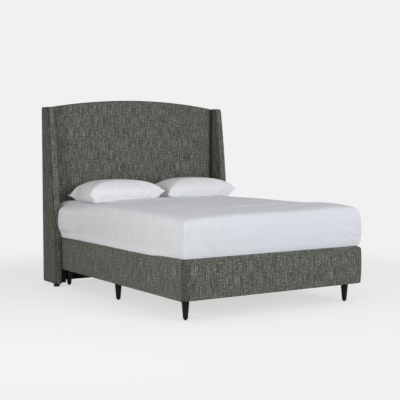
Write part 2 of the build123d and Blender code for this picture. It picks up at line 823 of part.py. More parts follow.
with BuildPart() as bracket_screws:
    with Locations(*facing(bracket_screw_places, (-1, 0, 0)), *hanger_screw_holes):
        add(wood_screw(bracket_screw_length))
    mirror(about=Plane.YZ)
save(bracket_screws, "bracket_screws")

# Mattress and sheet
mattress_width = base_width - 2 * mattress_side_inset
mattress_length = foot_to_headboard - mattress_foot_inset - mattress_head_gap
mattress_middle_y = foot_y + mattress_foot_inset + mattress_length / 2
mattress_low = rail_top + soft_gap


def mattress_shape(grow):
    """A crowned mattress with drawn-in lower and upper edges, grown outwards all round."""
    with BuildPart() as shape:
        for height_share, inset_share in mattress_profile_shares:
            height = mattress_low + height_share * (mattress_thickness + grow)
            out = grow - inset_share * mattress_thickness
            with BuildSketch(Plane.XY.offset(height)):
                with Locations((0, mattress_middle_y)):
                    RectangleRounded(mattress_width + 2 * out, mattress_length + 2 * out,
                                     mattress_corner_radius + grow)
        loft()
    return shape.part


with BuildPart() as mattress:
    add(mattress_shape(0.0))
save(mattress, "mattress")

with BuildPart() as sheet:
    add(mattress_shape(soft_gap + sheet_thickness))
    add(mattress_shape(soft_gap), mode=Mode.SUBTRACT)
save(sheet, "sheet")

# Pillows, each an insert in a case that is slit along its outer end
pillow_low = mattress_low + mattress_thickness + 2 * soft_gap + sheet_thickness
pillow_room = 2 * wing_inner_x - pillow_left_margin - pillow_pair_gap - pillow_right_margin
pillow_length = pillow_room / 2


def pillow_shape(bed_plane, shrink):
    """A plump pillow between flat seams, cut flat where it lies."""
    with BuildPart() as shape:
        for place, swell, depth_share in pillow_shares:
            half = depth_share * pillow_depth / 2 - shrink
            seam = pillow_seam / 2 - shrink
            rise = swell * (pillow_height - pillow_seam_height - shrink)
            drop = swell * (pillow_seam_height + pillow_bottom_drop - shrink)
            along = place * (pillow_length / 2 - shrink)
            middle = bed_plane.from_local_coords((along, 0, pillow_seam_height))
            with BuildSketch(Plane(origin=middle, x_dir=bed_plane.y_dir, z_dir=bed_plane.x_dir)):
                with BuildLine():
                    ThreePointArc((-half, seam), (0, seam + rise), (half, seam))
                    Line((half, seam), (half, -seam))
                    ThreePointArc((half, -seam), (0, -seam - drop), (-half, -seam))
                    Line((-half, -seam), (-half, seam))
                make_face()
        loft()
        split(bisect_by=bed_plane.offset(shrink), keep=Keep.TOP)
    return shape.part


for side, outward, margin, setback, turn in (
    ("left", -1, pillow_left_margin, pillow_left_setback, pillow_left_turn),
    ("right", 1, pillow_right_margin, pillow_right_setback, pillow_right_turn),
):
    middle_x = outward * (wing_inner_x - margin - pillow_length / 2)
    bed_plane = Plane(Location((middle_x, face_y - setback, pillow_low), (0, 0, turn)))
    with BuildPart() as pillow:
        add(pillow_shape(bed_plane, case_thickness + soft_gap))
    save(pillow, f"pillow_{side}")

    slit_middle = bed_plane.from_local_coords((outward * pillow_length / 2, 0, pillow_seam_height))
    with BuildPart() as pillowcase:
        add(pillow_shape(bed_plane, 0.0))
        add(pillow_shape(bed_plane, case_thickness), mode=Mode.SUBTRACT)
        with Locations(Plane(origin=slit_middle, x_dir=bed_plane.x_dir, z_dir=bed_plane.z_dir)):
            Box(2 * case_slit_depth, pillow_depth - 2 * case_slit_depth, case_slit, mode=Mode.SUBTRACT)
    save(pillowcase, f"pillowcase_{side}")
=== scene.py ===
"""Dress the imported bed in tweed, cotton, foam, wood and steel, and light it in a pale studio."""

import math

import bmesh
import bpy
import numpy as np
from bpy.props import FloatProperty, FloatVectorProperty, IntProperty, PointerProperty
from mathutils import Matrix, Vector, noise
from mathutils.bvhtree import BVHTree


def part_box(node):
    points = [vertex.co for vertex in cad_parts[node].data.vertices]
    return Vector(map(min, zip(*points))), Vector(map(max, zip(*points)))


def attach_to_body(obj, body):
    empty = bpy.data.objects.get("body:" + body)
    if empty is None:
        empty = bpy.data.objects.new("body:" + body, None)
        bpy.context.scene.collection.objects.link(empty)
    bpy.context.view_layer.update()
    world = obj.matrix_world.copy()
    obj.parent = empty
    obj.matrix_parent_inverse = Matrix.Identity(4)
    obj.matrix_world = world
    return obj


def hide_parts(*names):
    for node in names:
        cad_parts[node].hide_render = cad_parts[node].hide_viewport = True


bl_info = {
    "name": "Upholstered Bed",
    "version": (1, 0, 0),
    "blender": (4, 5, 0),
    "location": "View3D > Sidebar > Bed",
    "description": "Makes an upholstered bed's cloth, padding, finishes and studio round its CAD frame",
    "category": "Object",
}

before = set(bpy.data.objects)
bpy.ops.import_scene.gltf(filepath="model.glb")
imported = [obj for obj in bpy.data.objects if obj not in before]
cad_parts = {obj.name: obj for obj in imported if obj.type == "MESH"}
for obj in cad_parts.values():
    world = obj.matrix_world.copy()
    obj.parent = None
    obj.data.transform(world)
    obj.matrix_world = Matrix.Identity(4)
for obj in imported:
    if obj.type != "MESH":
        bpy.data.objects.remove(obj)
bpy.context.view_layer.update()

# Places on the CAD frame that the soft pieces are fitted to, in metres
base_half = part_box("foot_rail_cover")[1].x
foot_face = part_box("foot_rail_cover")[0].y
head_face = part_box("headboard_cover")[0].y
head_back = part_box("headboard_back_cloth")[1].y
rail_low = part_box("foot_rail_cover")[0].z
rail_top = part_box("foot_rail_cover")[1].z
rail_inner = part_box("side_rail_cover_right")[0].x
board_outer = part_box("side_rail_board_right")[1].x
lining_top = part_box("headboard_lining")[1].z
head_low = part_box("headboard_lining")[0].z
head_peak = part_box("headboard_cover")[1].z
wing_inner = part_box("wing_cover_right")[0].x
wing_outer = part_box("wing_cover_right")[1].x
wing_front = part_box("wing_cover_right")[0].y
wing_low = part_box("wing_cover_right")[0].z
wing_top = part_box("wing_cover_right")[1].z
mattress_low, mattress_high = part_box("mattress")
mattress_middle = (0, 0, (mattress_low.z + mattress_high.z) / 2)
mattress_thickness = mattress_high.z - mattress_low.z

# Where a quarter circle crosses its corner's diagonal, as a share of its radius
DIAGONAL = 0.293

# Distance in metres from one band of a wave texture to the next at scale 1
WAVE_PITCH = 0.314


class TweedSettings(bpy.types.PropertyGroup):
    """Colours and yarns of the upholstery tweed."""

    ground: FloatVectorProperty(
        name="Ground", description="Colour of most of the yarn", subtype="COLOR", size=3,
        default=(0.112, 0.122, 0.098), min=0.0, max=1.0)
    light: FloatVectorProperty(
        name="Light Yarn", description="Colour of the pale slubs", subtype="COLOR", size=3,
        default=(0.30, 0.31, 0.265), min=0.0, max=1.0)
    dark: FloatVectorProperty(
        name="Dark Yarn", description="Colour between the slubs", subtype="COLOR", size=3,
        default=(0.042, 0.048, 0.038), min=0.0, max=1.0)
    slub_width: FloatProperty(
        name="Slub Width", description="Usual width of a slub", default=0.0085,
        min=0.001, unit="LENGTH")
    slub_length: FloatProperty(
        name="Slub Length", description="Usual length of a slub", default=0.100,
        min=0.001, unit="LENGTH")
    yarn_pitch: FloatProperty(
        name="Yarn Pitch", description="Distance between two yarns", default=0.0024,
        min=0.0005, unit="LENGTH")


class RailSettings(bpy.types.PropertyGroup):
    """Shape of the padded rails."""

    cloth: FloatProperty(
        name="Cloth", description="Thickness of the tweed", default=0.002, min=0.0005, unit="LENGTH")
    crown: FloatProperty(
        name="Crown", description="How far a face swells at its middle", default=0.0035,
        min=0.0, unit="LENGTH")
    top_radius: FloatProperty(
        name="Top Radius", description="Rounding of the upper outer edge", default=0.016,
        min=0.002, unit="LENGTH")
    low_radius: FloatProperty(
        name="Low Radius", description="Rounding of the lower outer edge", default=0.010,
        min=0.002, unit="LENGTH")
    corner_radius: FloatProperty(
        name="Corner Radius", description="Rounding of the foot corners", default=0.007,
        min=0.001, unit="LENGTH")
    corner_drop: FloatProperty(
        name="Corner Drop", description="Fall of the upper edge at a foot corner", default=0.008, min=0.0,
        unit="LENGTH")
    corner_reach: FloatProperty(
        name="Corner Reach", description="Length over which the upper edge falls", default=0.075, min=0.01,
        unit="LENGTH")
    tuck_depth: FloatProperty(
        name="Tuck Depth", description="How far the cloth is drawn back beside the left foot corner",
        default=0.008, min=0.0, unit="LENGTH")
    tuck_width: FloatProperty(
        name="Tuck Width", description="Width of the cloth drawn back there", default=0.085, min=0.01,
        unit="LENGTH")


class HeadSettings(bpy.types.PropertyGroup):
    """Shape of the headboard and its wings."""

    crown: FloatProperty(
        name="Crown", description="How far the headboard's face swells", default=0.004,
        min=0.0, unit="LENGTH")
    edge_radius: FloatProperty(
        name="Edge Radius", description="Rounding of the headboard's front edge", default=0.012, min=0.002,
        unit="LENGTH")
    back_return: FloatProperty(
        name="Back Return", description="Tweed turned on to the back", default=0.035,
        min=0.005, unit="LENGTH")
    wing_crown: FloatProperty(
        name="Wing Crown", description="How far a wing's outer face swells", default=0.003, min=0.0,
        unit="LENGTH")
    wing_radius: FloatProperty(
        name="Wing Edge Radius", description="Rounding where a wing's face meets its front strip",
        default=0.006, min=0.001, unit="LENGTH")
    seam_depth: FloatProperty(
        name="Seam Depth", description="Depth of the seams beside the front strip", default=0.0024, min=0.0,
        unit="LENGTH")
    staple_pitch: FloatProperty(
        name="Staple Pitch", description="Distance between staples", default=0.032, min=0.01, unit="LENGTH")


class SheetSettings(bpy.types.PropertyGroup):
    """The sheet and its folds."""

    colour: FloatVectorProperty(
        name="Colour", description="Colour of the sheet", subtype="COLOR", size=3,
        default=(0.76, 0.775, 0.81), min=0.0, max=1.0)
    flat_width: FloatProperty(
        name="Flat Width", description="Width of the sheet before it was put on", default=2.29, min=1.0,
        unit="LENGTH")
    flat_length: FloatProperty(
        name="Flat Length", description="Length of the sheet before it was put on", default=2.59, min=1.0,
        unit="LENGTH")
    cloth: FloatProperty(
        name="Cloth", description="Thickness of the cotton", default=0.0007, min=0.0002, unit="LENGTH")
    hem: FloatProperty(
        name="Hem", description="Width of the stitched hem", default=0.013, min=0.005, unit="LENGTH")
    wrinkle: FloatProperty(
        name="Wrinkle", description="Height of the long soft wrinkles on top", default=0.0090, min=0.0,
        unit="LENGTH")
    stitch_pitch: FloatProperty(
        name="Stitch Pitch", description="Distance between the hem's stitches", default=0.0045, min=0.002,
        unit="LENGTH")


class PillowSettings(bpy.types.PropertyGroup):
    """The pillows and their cases."""

    colour: FloatVectorProperty(
        name="Colour", description="Colour of the pillowcases", subtype="COLOR", size=3,
        default=(0.825, 0.825, 0.845), min=0.0, max=1.0)
    pressure: FloatProperty(
        name="Pressure", description="Pressure that fills the case", default=4.0, min=0.0)
    cap: FloatProperty(
        name="Cap", description="Furthest that the filling may push the cloth", default=0.014, min=0.0,
        unit="LENGTH")
    frames: IntProperty(
        name="Frames", description="Steps of the cloth's simulation", default=20, min=1, max=60)


class StageSettings(bpy.types.PropertyGroup):
    """Studio light and background."""

    background: FloatProperty(
        name="Background", description="Brightness of the background", default=0.879, min=0.0, max=1.0)
    floor_light: FloatProperty(
        name="Floor Light", description="Share of the floor's brightness that doesn't come from the lamps",
        default=0.605, min=0.0, max=1.0)
    ambient: FloatProperty(
        name="Ambient", description="Strength of the light from all round", default=0.40, min=0.0)
    front: FloatProperty(
        name="Front Lamp", description="Power of the lamp before the foot end", default=248.0, min=0.0,
        unit="POWER")
    side: FloatProperty(
        name="Side Lamp", description="Power of the lamp at the left", default=119.0, min=0.0, unit="POWER")
    overhead: FloatProperty(
        name="Overhead Lamp", description="Power of the lamp above", default=8.0, min=0.0, unit="POWER")


class BedSettings(bpy.types.PropertyGroup):
    """All sizes and colours of the bed's looks."""

    tweed: PointerProperty(type=TweedSettings)
    rails: PointerProperty(type=RailSettings)
    head: PointerProperty(type=HeadSettings)
    sheet: PointerProperty(type=SheetSettings)
    pillows: PointerProperty(type=PillowSettings)
    stage: PointerProperty(type=StageSettings)


def settings():
    """The bed's settings in this scene."""
    return bpy.context.scene.bed


# Shapes


def smooth(value):
    """Ease from 0 to 1 between 0 and 1."""
    held = np.clip(value, 0.0, 1.0)
    return held * held * (3.0 - 2.0 * held)


def hill(value, width):
    """A soft hill, 1 at 0, that fades over the width."""
    return np.exp(-((value / width) ** 2))


def quarter(distance, radius):
    """How far a quarter circle falls away this far from its corner."""
    inside = np.clip(radius - distance, 0.0, radius)
    return radius - np.sqrt(np.maximum(radius**2 - inside**2, 0.0))


def spread(length, coarse, fine, reach):
    """Places from 0 to the length, close together within reach of both ends."""
    near = np.arange(0.0, reach, fine)
    count = max(2, math.ceil((length - 2 * reach) / coarse))
    middle = np.linspace(reach, length - reach, count + 1)
    return np.concatenate([near, middle, length - near[::-1]])


def rounded_path(corners, radii, spacing, steps=5):
    """Points at most the spacing apart on a line through the corners, each rounded to its radius."""
    line = [Vector(corners[0])]
    for before, here, after, radius in zip(corners, corners[1:], corners[2:], radii):
        here = Vector(here)
        if radius == 0:
            line.append(here)
            continue
        back, on = (Vector(before) - here).normalized(), (Vector(after) - here).normalized()
        half = back.angle(on) / 2
        centre = here + (back + on).normalized() * radius / math.sin(half)
        start, end = (here + arm * radius / math.tan(half) - centre for arm in (back, on))
        line += [centre + start.slerp(end, step / steps).normalized() * radius for step in range(steps + 1)]
    line.append(Vector(corners[-1]))
    points = line[:1]
    for point in line[1:]:
        last = points[-1]
        count = max(1, math.ceil((point - last).length / spacing))
        points += [last.lerp(point, step / count) for step in range(1, count + 1)]
    return np.array(points)


def cloth_uv(points):
    """Distances in metres across and up a grid of points, for a weave that keeps its size."""
    across = np.linalg.norm(np.diff(points, axis=1), axis=2).mean(axis=0)
    up = np.linalg.norm(np.diff(points, axis=0), axis=2).mean(axis=1)
    u = np.concatenate([[0.0], np.cumsum(across)])
    v = np.concatenate([[0.0], np.cumsum(up)])
    return np.stack(np.meshgrid(u, v), axis=-1)


def sew(name, patches, inside, close=False):
    """Join grids of (points, uv, painted shade) at their shared edges in a mesh that faces away from
    inside.
    """
    same_point = 2e-5
    points, corners, uvs, painted_shades, start = [], [], [], [], 0
    for grid, uv, painted_shade in patches:
        rows, columns = grid.shape[:2]
        index = np.arange(rows * columns).reshape(rows, columns) + start
        corners.append(np.stack(
            [index[:-1, :-1], index[:-1, 1:], index[1:, 1:], index[1:, :-1]], axis=-1).reshape(-1, 4))
        points.append(grid.reshape(-1, 3))
        uvs.append(uv.reshape(-1, 2))
        painted_shades.append(np.broadcast_to(painted_shade, (rows, columns)).reshape(-1))
        start += rows * columns
    faces = np.concatenate(corners)
    mesh = bpy.data.meshes.new(name)
    mesh.from_pydata(np.concatenate(points).tolist(), [], faces.tolist())
    layer = mesh.uv_layers.new(name="cloth")
    layer.data.foreach_set("uv", np.concatenate(uvs)[faces.reshape(-1)].astype(np.float32).ravel())
    # The painted shade goes into a point attribute that the tweed reads to darken its colour.
    attribute = mesh.attributes.new("painted_shade", "FLOAT", "POINT")
    attribute.data.foreach_set("value", np.concatenate(painted_shades).astype(np.float32))
    work = bmesh.new()
    work.from_mesh(mesh)
    bmesh.ops.remove_doubles(work, verts=work.verts, dist=same_point)
    if close:
        bmesh.ops.holes_fill(work, edges=[edge for edge in work.edges if edge.is_boundary], sides=0)
    bmesh.ops.recalc_face_normals(work, faces=work.faces)
    centre = Vector(inside)
    facing = sum(
        (face.calc_center_median() - centre).dot(face.normal) * face.calc_area() for face in work.faces)
    if facing < 0:
        bmesh.ops.reverse_faces(work, faces=work.faces)
    for face in work.faces:
        face.smooth = True
    work.to_mesh(mesh)
    work.free()
    made = bpy.data.objects.new(name, mesh)
    bpy.context.scene.collection.objects.link(made)
    return made


def give_wall(piece, thickness):
    """Give cloth or foam its thickness, inwards."""
    wall = piece.modifiers.new("wall", "SOLIDIFY")
    wall.thickness = thickness
    wall.offset = -1.0


def attach(piece, body, slot, material, *nodes):
    """Give a piece its finish and its body, and put it in place of the CAD nodes. The slot argument is not
    used.
    """
    piece.data.materials.clear()
    piece.data.materials.append(material)
    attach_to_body(piece, body)
    if nodes:
        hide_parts(*nodes)
    return piece


def border(grid, closed, turned=False):
    """A grid's edge in order: all round, or both sides and the last row, or the first row if turned."""
    rows, columns = grid.shape[:2]
    bottom = [(0, column) for column in range(columns)]
    right = [(row, columns - 1) for row in range(rows)]
    top = [(rows - 1, column) for column in reversed(range(columns))]
    left = [(row, 0) for row in reversed(range(rows))]
    if closed:
        return bottom[:-1] + right[:-1] + top[:-1] + left
    if turned:
        return left + bottom[1:] + right[1:]
    return [*reversed(left)] + [*reversed(top)][1:] + [*reversed(right)][1:]


def wrap_edge(grid, order, section, closed):
    """Carry a flat grid's border along the section, as grids of (across, up, depth) and of uv."""
    edge = np.array([grid[place] for place in order])
    if closed:
        tangent = np.roll(edge[:-1], -1, axis=0) - np.roll(edge[:-1], 1, axis=0)
        tangent = np.concatenate([tangent, tangent[:1]])
    else:
        tangent = np.gradient(edge, axis=0)
    normal = np.stack([tangent[:, 1], -tangent[:, 0]], axis=-1)
    normal /= np.maximum(np.linalg.norm(normal, axis=1, keepdims=True), 1e-9)
    middle = grid.reshape(-1, 2).mean(axis=0)
    if ((edge - middle) * normal).sum() < 0:
        normal = -normal
    run = np.concatenate([[0.0], np.cumsum(np.linalg.norm(np.diff(section, axis=0), axis=1))])
    flat = edge[None] + section[:, None, :1] * normal[None]
    depth = np.broadcast_to(section[:, None, 1:], flat.shape[:2] + (1,))
    uv = edge[None] + run[:, None, None] * normal[None]
    return np.concatenate([flat, depth], axis=-1), uv


def edge_arc(radius, steps=5):
    """A quarter turn from a face to its edge, as (out, depth)."""
    angles = np.linspace(0.0, math.pi / 2, steps)
    return np.stack([radius * np.sin(angles), radius * (1.0 - np.cos(angles))], axis=-1)


# Finishes


def node(tree, kind, inputs=None, **choices):
    """Add a node, make its choices, and set or link its inputs."""
    made = tree.nodes.new(kind)
    for key, value in choices.items():
        setattr(made, key, value)
    for key, value in (inputs or {}).items():
        if isinstance(value, bpy.types.NodeSocket):
            tree.links.new(value, made.inputs[key])
        else:
            made.inputs[key].default_value = value
    return made


def finish(name, roughness, **constants):
    """A new material, its tree and its surface shader, with what is the same all over set on the shader."""
    made = bpy.data.materials.new(name)
    made.use_nodes = True
    surface = made.node_tree.nodes["Principled BSDF"]
    surface.inputs["Roughness"].default_value = roughness
    for key, value in constants.items():
        surface.inputs[key.replace("_", " ").title().replace("Ior", "IOR")].default_value = value
    return made, made.node_tree, surface


def pattern(tree, vector, size, detail=2.0, roughness=0.5):
    """Noise whose grains have the given size along each axis, in metres."""
    place = node(tree, "ShaderNodeMapping", {"Vector": vector, "Scale": tuple(1.0 / part for part in size)})
    return node(tree, "ShaderNodeTexNoise", {
        "Vector": place.outputs["Vector"], "Scale": 1.0, "Detail": detail, "Roughness": roughness,
    }).outputs["Fac"]


def ramp(tree, value, *stops):
    """Colours at places along a value."""
    made = node(tree, "ShaderNodeValToRGB", {"Fac": value})
    elements = made.color_ramp.elements
    while len(elements) < len(stops):
        elements.new(0.5)
    for element, (place, colour) in zip(elements, stops):
        element.position = place
        element.color = (*colour, 1.0)
    return made.outputs["Color"]


def grey(level):
    """A grey colour."""
    return (level, level, level)


def blend(tree, factor, first, second, kind="MIX"):
    """Mix two colours."""
    made = node(tree, "ShaderNodeMix", data_type="RGBA", blend_type=kind)
    for socket, value in zip((made.inputs[0], made.inputs[6], made.inputs[7]), (factor, first, second)):
        if isinstance(value, bpy.types.NodeSocket):
            tree.links.new(value, socket)
        else:
            socket.default_value = value
    return made.outputs[2]


def object_place(tree):
    """Places on a piece in its own metres."""
    return node(tree, "ShaderNodeTexCoord").outputs["Object"]


def wave(tree, vector, scale, direction, **inputs):
    """Bands across a direction, WAVE_PITCH / scale metres apart."""
    given = {"Vector": vector, "Scale": scale, **inputs}
    return node(tree, "ShaderNodeTexWave", given, bands_direction=direction).outputs["Fac"]


def tint_surface(tree, surface, colour):
    """Give the surface a colour that changes over it."""
    tree.links.new(colour, surface.inputs["Base Color"])


def raise_surface(tree, surface, height, distance, strength=1.0):
    """Let a height pattern catch the light."""
    bump = node(tree, "ShaderNodeBump", {"Height": height, "Distance": distance, "Strength": strength})
    tree.links.new(bump.outputs["Normal"], surface.inputs["Normal"])


def add(tree, *values):
    """Add up values."""
    total = values[0]
    for value in values[1:]:
        total = node(tree, "ShaderNodeMath", {0: total, 1: value}, operation="ADD").outputs[0]
    return total


def scaled(tree, value, factor):
    """A value times a factor."""
    return node(tree, "ShaderNodeMath", {0: value, 1: factor}, operation="MULTIPLY").outputs[0]


def green_tweed():
    """Heathered tweed: pale slubs up and across the cloth, a plain weave, and painted shade that darkens it
    at seams, corners, tucks and shaded faces.
    """
    want = settings().tweed
    made, tree, surface = finish(
        "green_tweed", 0.92, specular_ior_level=0.18, sheen_weight=0.12, sheen_roughness=0.5)
    uv = node(tree, "ShaderNodeUVMap", uv_map="cloth").outputs["UV"]
    width, length = want.slub_width, want.slub_length
    upright = pattern(tree, uv, (width, length, 1.0), 2.0, 0.6)
    across = pattern(tree, uv, (length * 0.45, width, 1.0), 2.0, 0.6)
    grain = pattern(tree, uv, (width * 1.1, width * 1.5, 1.0), 2.0, 0.7)
    shares = ((upright, 0.37), (across, 0.18), (grain, 0.45))
    slubs = add(tree, *(scaled(tree, part, share) for part, share in shares))
    flecks = pattern(tree, uv, (width * 0.5, length * 0.2, 1.0), 2.0, 0.7)
    shade = pattern(tree, uv, (0.035, 0.16, 1.0), 2.0, 0.5)
    cloth = ramp(tree, slubs, (0.385, want.dark), (0.50, want.ground), (0.605, want.light))
    pale = ramp(tree, flecks, (0.64, grey(0.0)), (0.78, grey(0.8)))
    cloth = blend(tree, pale, cloth, (*want.light, 1.0))
    tone = ramp(tree, shade, (0.25, grey(0.86)), (0.75, grey(1.12)))
    cloth = blend(tree, 1.0, cloth, tone, "MULTIPLY")
    # Painted shade: the attribute mixes the cloth towards a near-black colour.
    painted_shade = node(tree, "ShaderNodeAttribute", attribute_name="painted_shade").outputs["Fac"]
    painted_shade_colour = (0.012, 0.013, 0.011, 1.0)
    tint_surface(tree, surface, blend(tree, painted_shade, cloth, painted_shade_colour))
    bands = WAVE_PITCH / want.yarn_pitch
    weave = [wave(tree, uv, bands, direction, Distortion=1.2, Detail=1.0) for direction in ("X", "Y")]
    raise_surface(tree, surface, add(tree, *weave, slubs), 0.0007, 0.8)
    return made


def black_lining():
    """Thin black lining cloth with a fine weave."""
    made, tree, surface = finish("black_lining", 0.85, specular_ior_level=0.25)
    place = object_place(tree)
    grain = pattern(tree, place, (0.0012, 0.0012, 0.0016), 2.0, 0.6)
    tint_surface(tree, surface, ramp(tree, grain, (0.3, grey(0.006)), (0.7, grey(0.017))))
    raise_surface(tree, surface, grain, 0.0003)
    return made


def dust_cloth():
    """Spunbonded dust cloth with a dimpled surface."""
    made, tree, surface = finish("dust_cloth", 0.8, specular_ior_level=0.3)
    place = object_place(tree)
    dimples = node(tree, "ShaderNodeTexVoronoi", {"Vector": place, "Scale": 420.0}).outputs["Distance"]
    fibres = pattern(tree, place, (0.006, 0.006, 0.02), 4.0, 0.7)
    tint_surface(tree, surface, ramp(tree, fibres, (0.3, grey(0.010)), (0.75, grey(0.026))))
    raise_surface(tree, surface, add(tree, dimples, fibres), 0.0003)
    return made


def cream_foam():
    """Open-cell foam."""
    made, tree, surface = finish("cream_foam", 0.95, specular_ior_level=0.2)
    place = object_place(tree)
    cells = node(tree, "ShaderNodeTexVoronoi", {"Vector": place, "Scale": 480.0}).outputs["Distance"]
    cloud = pattern(tree, place, (0.08, 0.08, 0.08))
    colour = ramp(tree, cloud, (0.3, (0.66, 0.58, 0.40)), (0.7, (0.78, 0.71, 0.54)))
    cell_colour = (0.42, 0.36, 0.24, 1.0)
    tint_surface(tree, surface, blend(tree, scaled(tree, cells, 0.5), cell_colour, colour))
    raise_surface(tree, surface, cells, 0.0012)
    return made


def white_cotton(name, colour, size, crease):
    """Smooth cotton with a fine weave and soft creases of the given size and height."""
    made, tree, surface = finish(
        name, 0.82, specular_ior_level=0.22, sheen_weight=0.08, sheen_roughness=0.4)
    place = object_place(tree)
    tone = pattern(tree, place, (0.25, 0.25, 0.18), 2.0)
    low, high = (tuple(part * level for part in colour) for level in (0.985, 1.01))
    tint_surface(tree, surface, ramp(tree, tone, (0.3, low), (0.7, high)))
    threads = pattern(tree, place, (0.0009, 0.0009, 0.0009), 1.0)
    creases = pattern(tree, place, size, 3.0, 0.5)
    raise_surface(tree, surface, add(tree, scaled(tree, threads, 0.01), creases), crease, 1.0)
    return made


def ticking():
    """Cotton ticking with narrow grey stripes."""
    made, tree, surface = finish("striped_ticking", 0.85, specular_ior_level=0.2)
    place = object_place(tree)
    stripe_pitch = 0.02
    stripes = wave(tree, place, WAVE_PITCH / stripe_pitch, "X")
    cream, slate = (0.74, 0.735, 0.71), (0.36, 0.38, 0.42)
    tint_surface(tree, surface, ramp(tree, stripes, (0.86, cream), (0.93, slate)))
    raise_surface(tree, surface, pattern(tree, place, (0.0012, 0.0012, 0.0012), 1.0), 0.0003)
    return made


def grain_wood(name, along, early, late, roughness, gloss=0.4):
    """Wood whose grain runs along an axis, as a board that is cut from a trunk shows it."""
    made, tree, surface = finish(name, roughness, specular_ior_level=gloss)
    place = object_place(tree)
    ring_width, grain_length = 0.011, 0.42
    size = [ring_width, ring_width, ring_width]
    size["XYZ".index(along)] = grain_length
    rings = pattern(tree, place, size, 3.0, 0.55)
    fine = [part * 0.12 for part in size]
    fibres = pattern(tree, place, fine, 2.0, 0.6)
    colour = ramp(tree, rings, (0.28, late), (0.48, early), (0.62, late), (0.78, early))
    tone = ramp(tree, fibres, (0.3, grey(0.86)), (0.7, grey(1.06)))
    tint_surface(tree, surface, blend(tree, 1.0, colour, tone, "MULTIPLY"))
    raise_surface(tree, surface, add(tree, scaled(tree, rings, 0.5), fibres), 0.0003)
    return made


def zinc_steel():
    """Zinc-plated steel with a cloudy sheen."""
    made, tree, surface = finish("zinc_steel", 0.4, metallic=1.0)
    place = object_place(tree)
    cloud = pattern(tree, place, (0.006, 0.006, 0.006), 4.0, 0.7)
    tint_surface(tree, surface, ramp(tree, cloud, (0.3, (0.42, 0.43, 0.44)), (0.7, (0.62, 0.63, 0.64))))
    tree.links.new(ramp(tree, cloud, (0.3, grey(0.48)), (0.7, grey(0.30))), surface.inputs["Roughness"])
    raise_surface(tree, surface, cloud, 0.0001)
    return made


def black_plastic():
    """Moulded black plastic with a fine spark texture."""
    made, tree, surface = finish("black_plastic", 0.5, specular_ior_level=0.15)
    place = object_place(tree)
    spark = pattern(tree, place, (0.0007, 0.0007, 0.0007), 3.0, 0.6)
    tint_surface(tree, surface, ramp(tree, spark, (0.3, grey(0.010)), (0.7, grey(0.020))))
    raise_surface(tree, surface, spark, 0.0002)
    return made


def woven_webbing():
    """Black woven webbing with a cross weave."""
    made, tree, surface = finish("woven_webbing", 0.7, specular_ior_level=0.3)
    place = object_place(tree)
    ribs = [wave(tree, place, scale, direction) for direction, scale in (("X", 180.0), ("Y", 120.0))]
    height = add(tree, *ribs)
    tint_surface(tree, surface, ramp(tree, height, (0.3, grey(0.012)), (0.8, grey(0.05))))
    raise_surface(tree, surface, height, 0.0005)
    return made


def thread():
    """White sewing thread with a twist."""
    made, tree, surface = finish("white_thread", 0.7)
    place = object_place(tree)
    twist = pattern(tree, place, (0.0004, 0.0004, 0.0004), 1.0)
    tint_surface(tree, surface, ramp(tree, twist, (0.3, grey(0.55)), (0.7, grey(0.75))))
    raise_surface(tree, surface, twist, 0.0001)
    return made


def made_once(maker, *arguments):
    """The material that the maker makes, made the first time that it is asked for."""
    key = (maker.__name__, *arguments)
    if key not in made_once.kept:
        made_once.kept[key] = maker(*arguments)
    return made_once.kept[key]


made_once.kept = {}


# Rows of small pieces


def row_tree(name):
    """A node tree that sets a short rod at every pitch along a path."""
    tree = bpy.data.node_groups.new(name, "GeometryNodeTree")
    face = tree.interface
    face.new_socket("Geometry", in_out="INPUT", socket_type="NodeSocketGeometry")
    for label in ("Pitch", "Length", "Radius"):
        face.new_socket(label, in_out="INPUT", socket_type="NodeSocketFloat").subtype = "DISTANCE"
    face.new_socket("Material", in_out="INPUT", socket_type="NodeSocketMaterial")
    face.new_socket("Geometry", in_out="OUTPUT", socket_type="NodeSocketGeometry")
    given = node(tree, "NodeGroupInput").outputs
    path = node(tree, "GeometryNodeMeshToCurve", {"Mesh": given["Geometry"]})
    even = node(tree, "GeometryNodeResampleCurve", {
        "Curve": path.outputs["Curve"], "Length": given["Pitch"]}, mode="LENGTH")
    tangent = node(tree, "GeometryNodeInputTangent")
    turn = node(tree, "FunctionNodeAlignRotationToVector", {"Vector": tangent.outputs["Tangent"]}, axis="Z")
    rod = node(tree, "GeometryNodeMeshCylinder", {
        "Vertices": 8, "Radius": given["Radius"], "Depth": given["Length"]}, fill_type="TRIANGLE_FAN")
    rods = node(tree, "GeometryNodeInstanceOnPoints", {
        "Points": even.outputs["Curve"], "Instance": rod.outputs["Mesh"],
        "Rotation": turn.outputs["Rotation"]})
    real = node(tree, "GeometryNodeRealizeInstances", {"Geometry": rods.outputs["Instances"]})
    painted = node(tree, "GeometryNodeSetMaterial", {
        "Geometry": real.outputs["Geometry"], "Material": given["Material"]})
    node(tree, "NodeGroupOutput", {"Geometry": painted.outputs["Geometry"]})
    return tree


